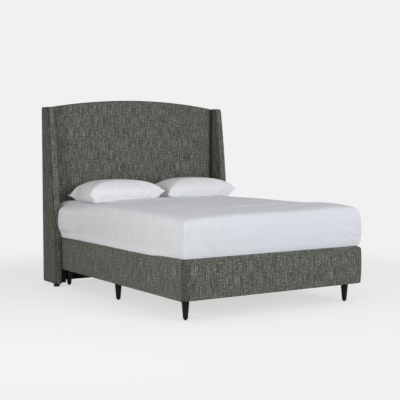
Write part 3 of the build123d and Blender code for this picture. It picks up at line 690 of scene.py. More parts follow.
def row_along(name, paths, pitch, length, radius, material):
    """A plain mesh of short rods along the paths."""
    points, edges = [], []
    for path in paths:
        edges += [(len(points) + step, len(points) + step + 1) for step in range(len(path) - 1)]
        points += [tuple(point) for point in path]
    line = bpy.data.meshes.new(name + "_path")
    line.from_pydata(points, edges, [])
    carrier = bpy.data.objects.new(name + "_path", line)
    bpy.context.scene.collection.objects.link(carrier)
    tree = row_tree(name + "_row")
    row = carrier.modifiers.new("row", "NODES")
    row.node_group = tree
    inputs = {item.name: item.identifier for item in tree.interface.items_tree if item.in_out == "INPUT"}
    for label, value in (("Pitch", pitch), ("Length", length), ("Radius", radius), ("Material", material)):
        row[inputs[label]] = value
    depsgraph = bpy.context.evaluated_depsgraph_get()
    mesh = bpy.data.meshes.new_from_object(carrier.evaluated_get(depsgraph), depsgraph=depsgraph)
    mesh.name = name
    bpy.data.objects.remove(carrier)
    made = bpy.data.objects.new(name, mesh)
    bpy.context.scene.collection.objects.link(made)
    return made


# Upholstered rails

# Gap left between pieces that lie against each other
CLOSE_GAP = 0.0003

# Depth of a point within a rail's board, below its outer face
BOARD_DEPTH = 0.014


def soften_corner(distance, left, want):
    """Pull, fall, rise and painted shade of the cloth this far from a foot corner."""
    radius, seam_depth, seam_width = want.corner_radius, 0.0015, 0.003
    upper_round, lower_round = (0.008, 0.010) if left else (0.016, 0.024)
    seam_shade, shade_width = 0.75, 0.0035
    pull = quarter(distance + DIAGONAL * radius, radius) + seam_depth * hill(distance, seam_width)
    fall = want.corner_drop * (1.0 - smooth(distance / want.corner_reach)) + quarter(distance, upper_round)
    rise = quarter(distance, lower_round)
    # Painted shade darkening the cloth in the seam at the corner.
    painted_shade = seam_shade * hill(distance, shade_width)
    return pull, fall, rise, painted_shade


def rail_grid(path, stations, run, want, foot):
    """A rail's surface as outwards, along, up and painted shade, with its foot corners softened."""
    out, up = path[:, :1], path[:, 1:]
    place = stations[None]
    share = smooth((out - rail_inner) / (base_half - rail_inner) * 1.25)
    pull, fall, rise, painted_shade = soften_corner(place, True, want)
    if foot:
        other = soften_corner(run - place, False, want)
        pull, fall, rise, painted_shade = (one + two for one, two in zip((pull, fall, rise, painted_shade), other))
        tuck_rise, tuck_start, tuck_shade = 0.012, 0.02, 0.34
        drawn = smooth(place / tuck_rise) * (1.0 - smooth((place - tuck_start) / want.tuck_width))
        pull = pull + want.tuck_depth * drawn
        # Painted shade in the band where the cloth is drawn back beside the left corner.
        painted_shade = painted_shade + tuck_shade * drawn
    middle, half = (rail_low + rail_top) / 2, (rail_top - rail_low) / 2
    swell_start, ripple_height = 0.08, 0.0009
    swell = want.crown * (1.0 - ((up - middle) / half) ** 2) * smooth(place / swell_start)
    wander = 1.3 * np.sin(place * 7.0)
    ripple = ripple_height * np.sin(place * 23.0 + wander) * np.sin((up - rail_low) * 9.0)
    outwards = out + (swell + ripple - pull) * share
    height = rail_low + rise * share + (up - rail_low) * (1.0 - (fall + rise) * share / (2 * half))
    return outwards, place + 0.0 * out, height, painted_shade * share


def side_rail(path, sign, name, want, close=False):
    """A side rail's cloth or padding, mitred at the foot corner."""
    gap = 0.0004
    run = head_face - gap - foot_face
    stations = spread(run, 0.022, 0.004, 0.1)
    out, along, up, painted_shade = rail_grid(path, stations, run, want, False)
    start = base_half - out
    y = foot_face + start + (run - start) * along / run
    grid = np.stack([sign * out, y, up], axis=-1)
    inside = (sign * (board_outer - BOARD_DEPTH), 0.0, (rail_low + rail_top) / 2)
    return sew(name, [(grid, cloth_uv(grid), painted_shade)], inside, close)


def foot_rail(path, name, want, close=False):
    """The foot rail's cloth or padding, mitred at both corners."""
    run = 2 * base_half
    stations = spread(run, 0.02, 0.004, 0.1)
    out, along, up, painted_shade = rail_grid(path, stations, run, want, True)
    x = out * (2 * along / run - 1.0)
    y = foot_face + base_half - out
    grid = np.stack([x, y, up], axis=-1)
    inside = (0.0, foot_face + base_half - board_outer + BOARD_DEPTH, (rail_low + rail_top) / 2)
    return sew(name, [(grid, cloth_uv(grid), painted_shade)], inside, close)


class BED_OT_rails(bpy.types.Operator):
    """Cover the side and foot rails in tweed over foam."""

    bl_idname = "bed.rails"
    bl_label = "Padded Rails"

    def execute(self, context):
        want = settings().rails
        cover, padding = self.cover_section(want), self.padding_section(want)
        for side, sign in (("left", -1), ("right", 1)):
            cloth = side_rail(cover, sign, f"tweed_side_rail_{side}", want)
            pad = side_rail(padding, sign, f"foam_side_rail_{side}", want, True)
            self.dress(cloth, pad, want, f"side_rail_cover_{side}", f"side_rail_padding_{side}")
        cloth = foot_rail(cover, "tweed_foot_rail", want)
        pad = foot_rail(padding, "foam_foot_rail", want, True)
        self.dress(cloth, pad, want, "foot_rail_cover", "foot_rail_padding")
        return {"FINISHED"}

    def dress(self, cloth, pad, want, cover_node, padding_node):
        """Put a rail's tweed and foam in place of its cover and its padding."""
        give_wall(cloth, want.cloth)
        attach(cloth, "root", "tweed", made_once(green_tweed), cover_node)
        attach(pad, "root", "foam", made_once(cream_foam), padding_node)

    def cover_section(self, want):
        """The tweed's line round a rail, from its lip inside the rail to the rail's underside."""
        lip, lip_radius, spacing = 0.016, 0.004, 0.012
        corners = [(rail_inner, rail_top - lip), (rail_inner, rail_top), (base_half, rail_top),
                   (base_half, rail_low), (rail_inner, rail_low)]
        return rounded_path(corners, (lip_radius, want.top_radius, want.low_radius), spacing)

    def padding_section(self, want):
        """The foam's closed line over and beside the board, under the tweed."""
        skin = want.cloth + CLOSE_GAP
        inner, low, high, outer = rail_inner + skin, rail_low + skin, rail_top - skin, base_half - skin
        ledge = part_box("foot_rail_board")[1].z + CLOSE_GAP
        back = board_outer + CLOSE_GAP
        inner_radius, back_radius, spacing = 0.002, 0.001, 0.016
        corners = [(inner, ledge), (inner, high), (outer, high), (outer, low), (back, low), (back, ledge),
                   (inner, ledge)]
        radii = (inner_radius, want.top_radius - skin, want.low_radius - skin, back_radius, back_radius)
        return rounded_path(corners, radii, spacing)


# Headboard


def arch_height(x):
    """Height of the headboard's arched top."""
    rise = head_peak - wing_top
    radius = (wing_inner**2 + rise**2) / (2 * rise)
    return head_peak - radius + np.sqrt(radius**2 - x**2)


def head_grid(half, low, inset):
    """A flat grid in (across, up) under the arch."""
    columns, rows = 121, 97
    x = np.linspace(-half, half, columns)[None]
    share = np.linspace(0.0, 1.0, rows)[:, None]
    up = low + (arch_height(x) - inset - low) * share
    return np.stack([x + 0.0 * up, up], axis=-1)


def set_head(flat):
    """Turn (across, up, depth) into places on the headboard."""
    return np.stack([flat[..., 0], head_face + flat[..., 2], flat[..., 1]], axis=-1)


def swell_of(grid, height):
    """A face's swell, level in the middle and falling away at its borders, as depth."""
    rows, columns = grid.shape[:2]
    across = np.linspace(-1.0, 1.0, columns)[None]
    up = np.linspace(-1.0, 1.0, rows)[:, None]
    return -height * (1.0 - across**8) * (1.0 - up**8)


class BED_OT_headboard(bpy.types.Operator):
    """Cover the headboard in tweed, line it low down and close its back."""

    bl_idname = "bed.headboard"
    bl_label = "Headboard"

    def execute(self, context):
        want = settings().head
        cloth = settings().rails.cloth
        wing_gap, back_gap = 0.001, 0.0002
        half = wing_inner - wing_gap
        depth = head_back + back_gap - head_face
        self.cover(half, depth, cloth, want)
        self.foam(half, cloth)
        self.lining(half, depth)
        self.back(want)
        return {"FINISHED"}

    def cover(self, half, depth, cloth, want):
        """The tweed over the headboard's face, round its edge and on to its back."""
        radius, back_radius = want.edge_radius, 0.005
        turn = edge_arc(back_radius)
        strip = np.linspace(radius + 0.006, depth - 0.008, 6)
        section = np.concatenate([
            edge_arc(radius, 7),
            [(radius, place) for place in strip],
            np.stack([radius - turn[:, 1], depth - back_radius + turn[:, 0]], axis=-1),
            [(radius - back_radius - want.back_return, depth)],
        ])
        grid = head_grid(half - radius, lining_top, radius)
        swell = swell_of(grid, want.crown)
        first_row, second_row = 0.0016, 0.0003
        swell[0] += first_row
        swell[1] += second_row
        face = set_head(np.concatenate([grid, swell[..., None]], axis=-1))
        edge, edge_uv = wrap_edge(grid, border(grid, False), section, False)
        lift = np.zeros(edge.shape[:2])
        lift[0] = [swell[place] for place in border(grid, False)]
        edge[..., 2] += lift
        # Painted shade: the face darkens near its sides beside the wings, the rounded edge along its sides
        # and top is darkened, and its side edges more.
        end_shade, roll_shade, shade_reach, shade_fade = 0.85, 0.35, 0.026, 0.020
        shaded_ends = end_shade * smooth((np.abs(grid[..., 0]) - (half - radius) + shade_reach) / shade_fade)
        rolled_shade = np.zeros(len(section))
        rolled_shade[2:9] = roll_shade
        painted_shade = np.maximum(rolled_shade[:, None], end_shade * (np.abs(edge[..., 0]) > half - radius - 0.001))
        cover = sew("tweed_headboard", [(face, grid, shaded_ends), (set_head(edge), edge_uv, painted_shade)],
                    (0, head_face + 0.03, 0.8))
        give_wall(cover, cloth)
        attach(cover, "root", "tweed", made_once(green_tweed), "headboard_cover")

    def foam(self, half, cloth):
        """The foam between the tweed and the ply panel."""
        low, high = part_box("headboard_foam")
        radius, gap, foot_margin, top_margin = 0.008, 0.0004, 0.004, 0.001
        thickness = high.y - low.y - gap
        low_edge = head_low + foot_margin + radius
        grid = head_grid(half - cloth - radius, low_edge, cloth + top_margin + radius)
        section = np.concatenate([edge_arc(radius), [(radius, thickness)]])
        edge, edge_uv = wrap_edge(grid, border(grid, True), section, True)
        edge[..., 2] += cloth + gap
        face = np.concatenate([grid, np.full(grid.shape[:2] + (1,), cloth + gap)], axis=-1)
        pad = sew("foam_headboard", [(set_head(face), grid, 0.0), (set_head(edge), edge_uv, 0.0)],
                  (0, low.y + 0.007, 0.8), True)
        attach(pad, "root", "foam", made_once(cream_foam), "headboard_foam")

    def lining(self, half, depth):
        """The black lining that closes the headboard low down."""
        inset, overlap, back_return, behind = 0.004, 0.012, 0.03, 0.0014
        x = np.linspace(-half + inset, half - inset, 101)
        up = np.linspace(head_low + inset, lining_top + overlap, 12)
        grid = np.stack(np.meshgrid(x, up), axis=-1)
        back = depth - behind
        turned = [(inset, back_return), (inset, back), (inset - back_return, back)]
        section = np.concatenate([edge_arc(inset), turned])
        section[:, 1] += behind
        face = np.concatenate([grid, np.full(grid.shape[:2] + (1,), behind)], axis=-1)
        edge, edge_uv = wrap_edge(grid, border(grid, False, True), section, False)
        cloth = sew("black_head_lining", [(set_head(face), grid, 0.0), (set_head(edge), edge_uv, 0.0)],
                    (0, head_face + 0.03, 0.1))
        thickness = 0.0008
        give_wall(cloth, thickness)
        attach(cloth, "root", "lining", made_once(black_lining), "headboard_lining")

    def back(self, want):
        """The dust cloth on the back, stapled just inside its edge."""
        inset, foot_margin, behind, wave_height = 0.014, 0.010, 0.0014, 0.0004
        grid = head_grid(wing_inner - inset, head_low + foot_margin, inset)
        x, up = grid[..., 0], grid[..., 1]
        waves = wave_height * np.sin(x * 31 + 2 * np.sin(up * 5)) * np.sin(up * 17 + x * 4)
        place = np.stack([x, head_back + behind + waves, up], axis=-1)
        cloth = sew("dust_cloth_back", [(place, grid, 0.0)], (0, 0, 0.8))
        thickness = 0.0006
        give_wall(cloth, thickness)
        attach(cloth, "root", "dust_cloth", made_once(dust_cloth), "headboard_back_cloth")
        self.staples([place[spot] for spot in border(grid, True)], want.staple_pitch)

    def staples(self, edge, pitch):
        """A row of staples just inside the dust cloth's edge."""
        middle = np.array([0.0, 0.0, 0.75])
        inset, proud, length, radius = 0.006, 0.0006, 0.010, 0.0005
        path = []
        for point in edge:
            inwards = inset * (middle - point) / np.linalg.norm(middle - point)
            path.append(point + inwards * (1, 0, 1) + (0, proud, 0))
        staples = row_along("back_staples", [path], pitch, length, radius, made_once(zinc_steel))
        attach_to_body(staples, "root")


# Wings


def wing_edge(up):
    """Front edge of a wing at a height: a soft bulge low down that leans back to a rounded nose."""
    share = (up - wing_low) / (wing_top - wing_low)
    lean, bulge = 0.118, 0.128
    nose, toe = 0.024, 0.008
    return (wing_front + lean * share - bulge * share * (1.0 - share)
            + quarter(wing_top - up, nose) + quarter(up - wing_low, toe))


def wing_grid(inset):
    """A flat grid in (back, up) over a wing's side."""
    up = wing_low + inset + spread(wing_top - wing_low - 2 * inset, 0.014, 0.0035, 0.028)
    front = wing_edge(np.clip(up, wing_low + inset, wing_top - inset)) + inset
    share = spread(1.0, 0.08, 0.03, 0.12)[None]
    across = front[:, None] + (head_back - inset - front[:, None]) * share
    return np.stack([across, up[:, None] + 0.0 * across], axis=-1)


class BED_OT_wings(bpy.types.Operator):
    """Cover both wings in tweed, with a strip round their edge between two seams."""

    bl_idname = "bed.wings"
    bl_label = "Wings"

    def execute(self, context):
        want = settings().head
        tweed, foam = made_once(green_tweed), made_once(cream_foam)
        cloth = settings().rails.cloth
        pad_radius, pad_gap, pad_thickness = 0.006, 0.0008, 0.0105
        for side, sign in (("left", -1), ("right", 1)):
            cover = self.shell(
                f"tweed_wing_{side}", sign, want.wing_radius, 0.0, want.seam_depth, want.wing_crown)
            give_wall(cover, cloth)
            attach(cover, "root", "tweed", tweed, f"wing_cover_{side}")
            pad = self.shell(f"foam_wing_{side}", sign, pad_radius, cloth + pad_gap, 0.0, want.wing_crown)
            give_wall(pad, pad_thickness)
            attach(pad, "root", "foam", foam, f"wing_padding_{side}")
        return {"FINISHED"}

    def shell(self, name, sign, radius, inset, seam, crown):
        """A wing's two faces and the strip between them, all drawn in by the inset."""
        inner_gap, strip_crown, seam_shade = 0.0016, 0.0022, 0.55
        thickness = wing_outer - wing_inner - inner_gap - 2 * inset
        grid = wing_grid(radius + inset)
        arc = edge_arc(radius)
        arc[2] -= seam * np.array([0.7, -0.7])
        strip = np.linspace(0.0, 1.0, 7)[1:-1]
        section = np.concatenate([
            arc,
            np.stack([radius + strip_crown * (1.0 - (2 * strip - 1.0) ** 2),
                      radius + (thickness - 2 * radius) * strip], axis=-1),
            np.stack([arc[::-1, 0], thickness - arc[::-1, 1]], axis=-1),
        ])
        # Painted shade along the seams on both sides of the front strip.
        painted_shade = np.zeros(len(section))
        painted_shade[[1, 2, 3, -4, -3, -2]] = seam_shade if seam else 0.0
        edge, edge_uv = wrap_edge(grid, border(grid, True), section, True)
        swell = swell_of(grid, crown)
        outer = np.concatenate([grid, swell[..., None]], axis=-1)
        inner = np.concatenate([grid, np.full(swell.shape + (1,), thickness)], axis=-1)

        def place(flat):
            across = sign * (wing_outer - inset - flat[..., 2])
            return np.stack([across, flat[..., 0], flat[..., 1]], axis=-1)

        # Painted shade: both faces are darkened all over, the inner face more where it meets the headboard
        # and the outer face more towards the top, where less light falls.
        face_shade, corner_shade, high_shade = 0.26, 0.5, 0.10
        shaded_in = face_shade + corner_shade * smooth((grid[..., 0] - head_face + 0.012) / 0.010)
        shaded_out = face_shade + high_shade * smooth((grid[..., 1] - 0.2) / 1.2)
        patches = [(place(outer), grid, shaded_out), (place(edge), edge_uv, painted_shade[:, None]),
                   (place(inner), grid, shaded_in)]
        return sew(name, patches, (sign * (wing_inner + wing_outer) / 2, 0.95, 0.7))


# Mattress and sheet


def level_up(points):
    """Height of points above the mattress's foot, as a share of its thickness."""
    return (points[..., 2] - mattress_low.z) / mattress_thickness


def bedding_section():
    """Points down the mattress's side as (inset, height share), rounded over its upper edge."""
    shares = (
        (1.0, 0.40), (0.995, 0.26), (0.965, 0.13), (0.90, 0.055),
        (0.70, 0.012), (0.40, 0.0), (0.10, 0.012), (0.0, 0.045))
    corners = [(share * mattress_thickness, level * mattress_thickness) for level, share in shares]
    radii, spacing, steps = (0.08, 0.035, 0.028, 0.10, 0.3, 0.2), 0.012, 4
    path = rounded_path(corners, radii, spacing, steps)
    return path[:, 0], path[:, 1] / mattress_thickness


def rectangle_ring(half_x, low_y, high_y, radius, stations_x, stations_y):
    """Points round a rectangle with rounded corners, in order, starting at the foot's left corner."""
    cut = DIAGONAL * radius

    def one_side(shares, length):
        along = cut + shares * (length - 2 * cut)
        inward = quarter(np.minimum(along, length - along), radius)
        return along, inward

    across, drawn_x = one_side(stations_x, 2 * half_x)
    back, drawn_y = one_side(stations_y, high_y - low_y)
    foot = np.stack([across - half_x, low_y + drawn_x], axis=-1)
    right = np.stack([half_x - drawn_y, low_y + back], axis=-1)
    head = np.stack([half_x - across, high_y - drawn_x], axis=-1)
    left = np.stack([drawn_y - half_x, high_y - back], axis=-1)
    return np.concatenate([foot[:-1], right[:-1], head[:-1], left])


def bulge_over_rail(y, level):
    """How far the mattress swells over the side rail just in front of the wings."""
    peak, reach, end, fade, depth = 0.79, 0.19, 0.795, 0.026, 0.044
    along = hill(np.minimum(y - peak, 0.0), reach) * (1.0 - smooth((y - end) / fade))
    return depth * along * (0.3 + 0.7 * smooth(level / 0.25)) * (1.0 - smooth((level - 0.76) / 0.24))


def settle(points):
    """Swell the top near the right foot corner and sink it at the left one and below the left pillow's end.

    The left side is drawn in towards the foot too.
    """
    share = smooth(level_up(points) * 3.0 - 2.0)
    swell = 0.019 * hill(points[..., 0] - 0.62, 0.34) * hill(points[..., 1] + 0.78, 0.27)
    sink = 0.020 * hill(points[..., 0] + 0.77, 0.24) * hill(points[..., 1] + 1.04, 0.26)
    dent = 0.030 * hill(points[..., 0] + 0.60, 0.20) * hill(points[..., 1] - 0.67, 0.26)
    points[..., 2] += (swell - sink - dent) * share
    drawn_in, start, run, reach = 0.015, 0.30, 0.45, 0.30
    left = smooth((-points[..., 0] - start) / run)
    points[..., 0] += drawn_in * left * hill(points[..., 1] - foot_face, reach)
    return points


def round_over(points, half, top):
    """Round the long upper edges off more and more towards the head."""
    wide, tall = 0.175, 0.120
    start, run = 0.10, 0.60
    weight = smooth((points[..., 1] - start) / run)
    across = (np.abs(points[..., 0]) - (half - wide)) / wide
    up = (points[..., 2] - (top - tall)) / tall
    reach = np.hypot(np.maximum(across, 0.0), np.maximum(up, 0.0))
    inwards = 1.0 - np.minimum(1.0, 1.0 / np.maximum(reach, 1e-6))
    share = 1.0 - weight * inwards * ((across > 0) & (up > 0))
    points[..., 0] = np.sign(points[..., 0]) * np.where(across > 0, half - wide + wide * across * share,
                                                        np.abs(points[..., 0]))
    points[..., 2] = np.where(up > 0, top - tall + tall * up * share, points[..., 2])
    return points


def bedding_surface(grow, stations_x, stations_y, section):
    """The top grid and the side grid of the mattress, grown by a thickness of cloth."""
    inset, level = section
    side_gap, least_radius, radius_share, bulge_reach = 0.0015, 0.005, 0.30, 0.2
    half = mattress_high.x + grow - side_gap
    low_y, high_y = mattress_low.y - grow, mattress_high.y + grow
    rings = []
    for drawn, share in zip(inset, level):
        radius = least_radius + radius_share * drawn
        ring = rectangle_ring(half - drawn, low_y + drawn, high_y - drawn, radius, stations_x, stations_y)
        height = mattress_low.z + share * mattress_thickness + grow * smooth(share * 2 - 1.0)
        z = np.full(len(ring), height)
        rings.append(np.stack([ring[:, 0], ring[:, 1], z], axis=-1))
    side = np.array(rings)
    count_x, count_y = len(stations_x), len(stations_y)
    first = side[0]
    foot, right = first[:count_x], first[count_x - 1:count_x + count_y - 1]
    head = first[count_x + count_y - 2:2 * count_x + count_y - 2][::-1]
    left = first[2 * count_x + count_y - 3:][::-1]
    s, t = stations_x[None, :, None], stations_y[:, None, None]
    corners = (foot[0] * (1 - s) * (1 - t) + foot[-1] * s * (1 - t)
               + head[0] * (1 - s) * t + head[-1] * s * t)
    top = (foot[None] * (1 - t) + head[None] * t + left[:, None] * (1 - s) + right[:, None] * s - corners)
    high = mattress_high.z + grow
    top, side = round_over(top, half, high), round_over(side, half, high)
    swell = bulge_over_rail(side[..., 1], level[:, None]) * (np.abs(side[..., 0]) > half - bulge_reach)
    side[..., 0] += np.sign(side[..., 0]) * swell
    return settle(top), settle(side)


def even_noise(points, size, seed):
    """Soft noise between about -1 and 1 at points, with grains of the given size."""
    moved = points / np.array(size) + seed
    heights = [noise.noise(Vector(point)) for point in moved.reshape(-1, 3)]
    return np.array(heights).reshape(points.shape[:-1])


def crease(points, start, end, width, height):
    """A crease of the cloth along a line between two places, fading at both ends."""
    start, end = np.array(start), np.array(end)
    along = end - start
    share = ((points - start) @ along) / (along @ along)
    nearest = start + np.clip(share, 0.0, 1.0)[..., None] * along
    away = np.linalg.norm(points - nearest, axis=-1)
    fade = smooth(share / 0.25 + 0.4) * smooth((1.0 - share) / 0.35 + 0.2)
    return height * hill(away, width) * fade


def side_outward(side):
    """Outward directions on the side grid, level with the floor."""
    along = np.roll(side, -1, axis=1) - np.roll(side, 1, axis=1)
    outward = np.stack([along[..., 1], -along[..., 0], 0.0 * along[..., 0]], axis=-1)
    return outward / np.maximum(np.linalg.norm(outward, axis=-1, keepdims=True), 1e-9)


def quilting(points):
    """Cushions of quilting about 0.2 m wide, from 0 at their seams to 1."""
    turn = 15.7
    return np.abs(np.sin(points[..., 0] * turn)) * np.abs(np.sin(points[..., 1] * turn))


class BED_OT_mattress(bpy.types.Operator):
    """Make the mattress: ticking with quilted faces and a taped edge above and below."""

    bl_idname = "bed.mattress"
    bl_label = "Mattress"

    def execute(self, context):
        stations_x, stations_y = spread(1.0, 0.012, 0.006, 0.03), spread(1.0, 0.01, 0.005, 0.025)
        below_sheet = -0.003
        top, side = bedding_surface(below_sheet, stations_x, stations_y, bedding_section())
        quilt_high, quilt_sink, quilt_under = 0.0035, 0.004, 0.003
        tape_thick, tape_width, lower_tape, upper_tape = 0.0028, 0.02, 0.04, 0.915
        quilt = quilting(top)
        inner = np.ones_like(quilt)
        inner[[0, -1]] = inner[:, [0, -1]] = 0.0
        top[..., 2] += (quilt_high * quilt - quilt_sink) * inner
        level = level_up(side)
        tape = tape_thick * (hill(level - lower_tape, tape_width) + hill(level - upper_tape, tape_width))
        side = side + side_outward(side) * tape[..., None]
        bottom = np.stack([top[..., 0], top[..., 1], np.full(top.shape[:2], mattress_low.z)], axis=-1)
        ring = side[-1]
        target = side[0] * (1, 1, 0) + (0, 0, mattress_low.z)
        under = np.array([ring * (1 - share) + target * share for share in (0.0, 0.3, 0.6, 1.0)])
        under[-1, :, 2] = mattress_low.z
        bottom[..., 2] += quilt_under * inner * quilt
        patches = [(grid, cloth_uv(grid), 0.0) for grid in (top, side, under, bottom)]
        piece = sew("ticking_mattress", patches, mattress_middle)
        attach(piece, "mattress", "ticking", made_once(ticking), "mattress")
        return {"FINISHED"}


class BED_OT_sheet(bpy.types.Operator):
    """Lay the sheet over the mattress, folded at the foot corners and hemmed along its lower edge."""

    bl_idname = "bed.sheet"
    bl_label = "Sheet"

    def execute(self, context):
        want = settings().sheet
        stations_x, stations_y = spread(1.0, 0.0095, 0.0028, 0.02), spread(1.0, 0.0078, 0.0022, 0.016)
        clear_of_mattress = 0.0015
        top, side = bedding_surface(clear_of_mattress, stations_x, stations_y, bedding_section())
        top, side = self.wrinkle(top, side, want)
        patches = [(top, cloth_uv(top), 0.0), (side, cloth_uv(side), 0.0)]
        piece = sew("cotton_sheet", patches, mattress_middle)
        give_wall(piece, want.cloth)
        cotton = made_once(white_cotton, "sheet_cotton", tuple(want.colour), (0.24, 0.055, 0.17), 0.010)
        attach(piece, "mattress", "sheet_cotton", cotton, "sheet")
        height = side[..., 2] - side[-1:, :, 2]
        row = int(np.argmin(np.abs(height.mean(axis=1) - want.hem)))
        proud, radius, length = 0.0004, 0.0004, want.stitch_pitch * 0.6
        path = side[row] + side_outward(side)[row] * proud
        stitches = row_along(
            "sheet_hem_stitches", [path], want.stitch_pitch, length, radius, made_once(thread))
        attach(stitches, "mattress", "sheet_cotton", made_once(thread))
        return {"FINISHED"}

    def wrinkle(self, top, side, want):
        """Press long wrinkles into the top, soft folds into the sides and a sag into the lower edge."""
        side_fade, end_fade, deepest = 0.12, 0.10, -0.36
        inner = (smooth((np.abs(top[0, 0, 0]) - np.abs(top[..., 0])) / side_fade)
                 * smooth((top[..., 1] - top[0, 0, 1]) / end_fade)
                 * smooth((top[-1, 0, 1] - top[..., 1]) / end_fade))
        soft = even_noise(top, (0.55, 0.075, 1.0), 3.7) + 0.5 * even_noise(top, (0.3, 0.045, 1.0), 9.1)
        top[..., 2] += want.wrinkle * np.maximum(soft, deepest) * inner
        level = level_up(side)
        side = side + side_outward(side) * (self.folds(side) * smooth((1.0 - level) * 6.0))[..., None]
        run = smooth((side[..., 1] - foot_face) / 0.5) * smooth((0.815 - side[..., 1]) / 0.04)
        beside = smooth((np.abs(side[..., 0]) - base_half + 0.05) / 0.04)
        low = smooth(1.0 - level / 0.16) * beside * run
        sag, outwards = 0.011, 0.017
        side[..., 2] -= sag * low
        side[..., 0] += np.sign(side[..., 0]) * outwards * low
        return self.meet(top, side), side

    def folds(self, side):
        """How far the sides stand out in soft folds, and in creases near the corners and by the pillow."""
        soft = (0.0026 * even_noise(side, (0.13, 0.13, 0.30), 5.3)
                + 0.0012 * even_noise(side, (0.05, 0.05, 0.16), 1.9))
        deepest = -0.0032
        folds = np.maximum(soft, deepest)
        left, foot = -base_half, foot_face
        for start, end, width, height in (
            ((left + 0.06, foot, 0.67), (left + 0.30, foot, 0.45), 0.013, 0.0060),
            ((left + 0.13, foot, 0.69), (left + 0.15, foot, 0.55), 0.009, 0.0055),
            ((left + 0.28, foot, 0.69), (left + 0.31, foot, 0.58), 0.011, 0.0050),
            ((left + 0.34, foot, 0.69), (left + 0.46, foot, 0.60), 0.010, 0.0040),
            ((left + 0.62, foot, 0.60), (left + 1.00, foot, 0.50), 0.014, 0.0030),
            ((-left - 0.02, foot, 0.50), (-left - 0.34, foot, 0.60), 0.012, 0.0045),
            ((-left - 0.04, foot, 0.445), (-left - 0.20, foot, 0.53), 0.009, 0.0050),
            ((-left - 0.10, foot, 0.435), (-left - 0.17, foot, 0.475), 0.006, 0.0045),
            ((-left - 0.16, foot, 0.435), (-left - 0.22, foot, 0.470), 0.006, 0.0040),
            ((-left - 0.22, foot, 0.435), (-left - 0.27, foot, 0.465), 0.006, 0.0035),
            ((left, foot + 0.06, 0.67), (left, foot + 0.34, 0.50), 0.014, 0.0045),
            ((left, foot + 0.22, 0.68), (left, foot + 0.30, 0.55), 0.012, 0.0035),
            ((left, foot + 1.30, 0.62), (left, foot + 1.62, 0.48), 0.018, 0.0045),
            ((left, foot + 1.45, 0.66), (left, foot + 1.72, 0.56), 0.014, 0.0040),
        ):
            folds = folds + crease(side, start, end, width, height)
        return folds

    def meet(self, top, side):
        """Let the top's border follow the side's first row."""
        for place, point in zip(border(top, True), side[0]):
            top[place] = point
        return top


# Pillows

# How far each pillow's near left ear is lifted
EAR_LIFTS = {"left": 0.028, "right": 0.006}

# Size of the even mesh of a case and of the pillow inside it, and how much smaller that pillow is
CASE_MESH, INSERT_MESH = 0.0055, 0.009
INSERT_MARGIN = 0.005

# Gap between the sheet and a pillow that lies on it, and the height over which the pillow is pressed flat
PILLOW_GAP, PRESSED_HEIGHT = 0.0012, 0.04


def pillow_form(low, high, lift):
    """A closed pillow as an upper and a lower grid, with ears, of which the near left one is lifted."""
    u = np.sin(np.linspace(-math.pi / 2, math.pi / 2, 97))[None]
    v = np.sin(np.linspace(-math.pi / 2, math.pi / 2, 65))[:, None]
    half_x, half_y = (high.x - low.x) / 2, (high.y - low.y) / 2
    end_waist, side_waist = 0.10, 0.13
    x = half_x * u * (1.0 - end_waist * (1.0 - v**6) * np.abs(u) ** 3)
    y = half_y * v * (1.0 - side_waist * (1.0 - u**8) * np.abs(v) ** 3)
    end, side = 1.0 - np.abs(u) ** 2.1, 1.0 - np.abs(v) ** 3.6
    hip = (np.maximum(end, 1e-4) ** -3.0 + np.maximum(side, 1e-4) ** -3.0) ** (-1 / 3.0) * 2 ** (1 / 3.0)
    hip = np.minimum(hip, 1.0)
    ear = smooth((np.abs(u * v) - 0.70) / 0.26)
    near = smooth((-u - 0.35) / 0.65) * smooth((-v - 0.20) / 0.80)
    ear_wide, ear_long = 0.030, 0.012
    x, y = x * (1.0 + ear_wide * ear) - 0.1 * lift * near * ear, y * (1.0 + ear_long * ear)
    dome = hip ** (0.60 + 0.15 * u) * (0.94 + 0.06 * (1.0 - u**2)) * (1.0 - 0.70 * ear)
    seam_height, seam_tilt, crown_gap, belly_drop = 0.040, 0.020, 0.018, 0.026
    seam = seam_height + seam_tilt * u + lift * near
    upper = seam + (high.z - low.z - crown_gap - seam) * dome
    corner = smooth((np.abs(u * v) - 0.62) / 0.34)
    belly = np.sqrt(np.minimum(hip * (2.1 - 0.9 * u), 1.0)) * (1.0 - 0.85 * corner)
    lower = seam - (seam + belly_drop) * belly
    centre = np.array([(low.x + high.x) / 2, (low.y + high.y) / 2, low.z])
    return [np.stack([x + 0 * z, y + 0 * z, z], axis=-1) + centre for z in (upper, lower)]


def fill_with_cloth(piece, want):
    """Let the cloth fill under pressure, and keep every point within the cap of where it was."""
    start = np.array([vertex.co for vertex in piece.data.vertices])
    cloth = piece.modifiers.new("cloth", "CLOTH")
    cloth.settings.use_pressure = True
    cloth.settings.uniform_pressure_force = want.pressure
    cloth.settings.effector_weights.gravity = 0.0
    cloth.settings.quality = 4
    cloth.settings.mass = 0.25
    cloth.settings.tension_stiffness = cloth.settings.compression_stiffness = 12.0
    cloth.settings.bending_stiffness = 0.4
    cloth.point_cache.frame_start, cloth.point_cache.frame_end = 1, want.frames
    scene = bpy.context.scene
    for frame_number in range(1, want.frames + 1):
        scene.frame_set(frame_number)
    depsgraph = bpy.context.evaluated_depsgraph_get()
    filled = piece.evaluated_get(depsgraph).data
    end = np.array([vertex.co for vertex in filled.vertices])
    piece.modifiers.remove(cloth)
    scene.frame_set(1)
    move = end - start
    length = np.linalg.norm(move, axis=1, keepdims=True)
    kept = start + move * np.minimum(1.0, want.cap / np.maximum(length, 1e-9))
    piece.data.vertices.foreach_set("co", kept.astype(np.float32).ravel())


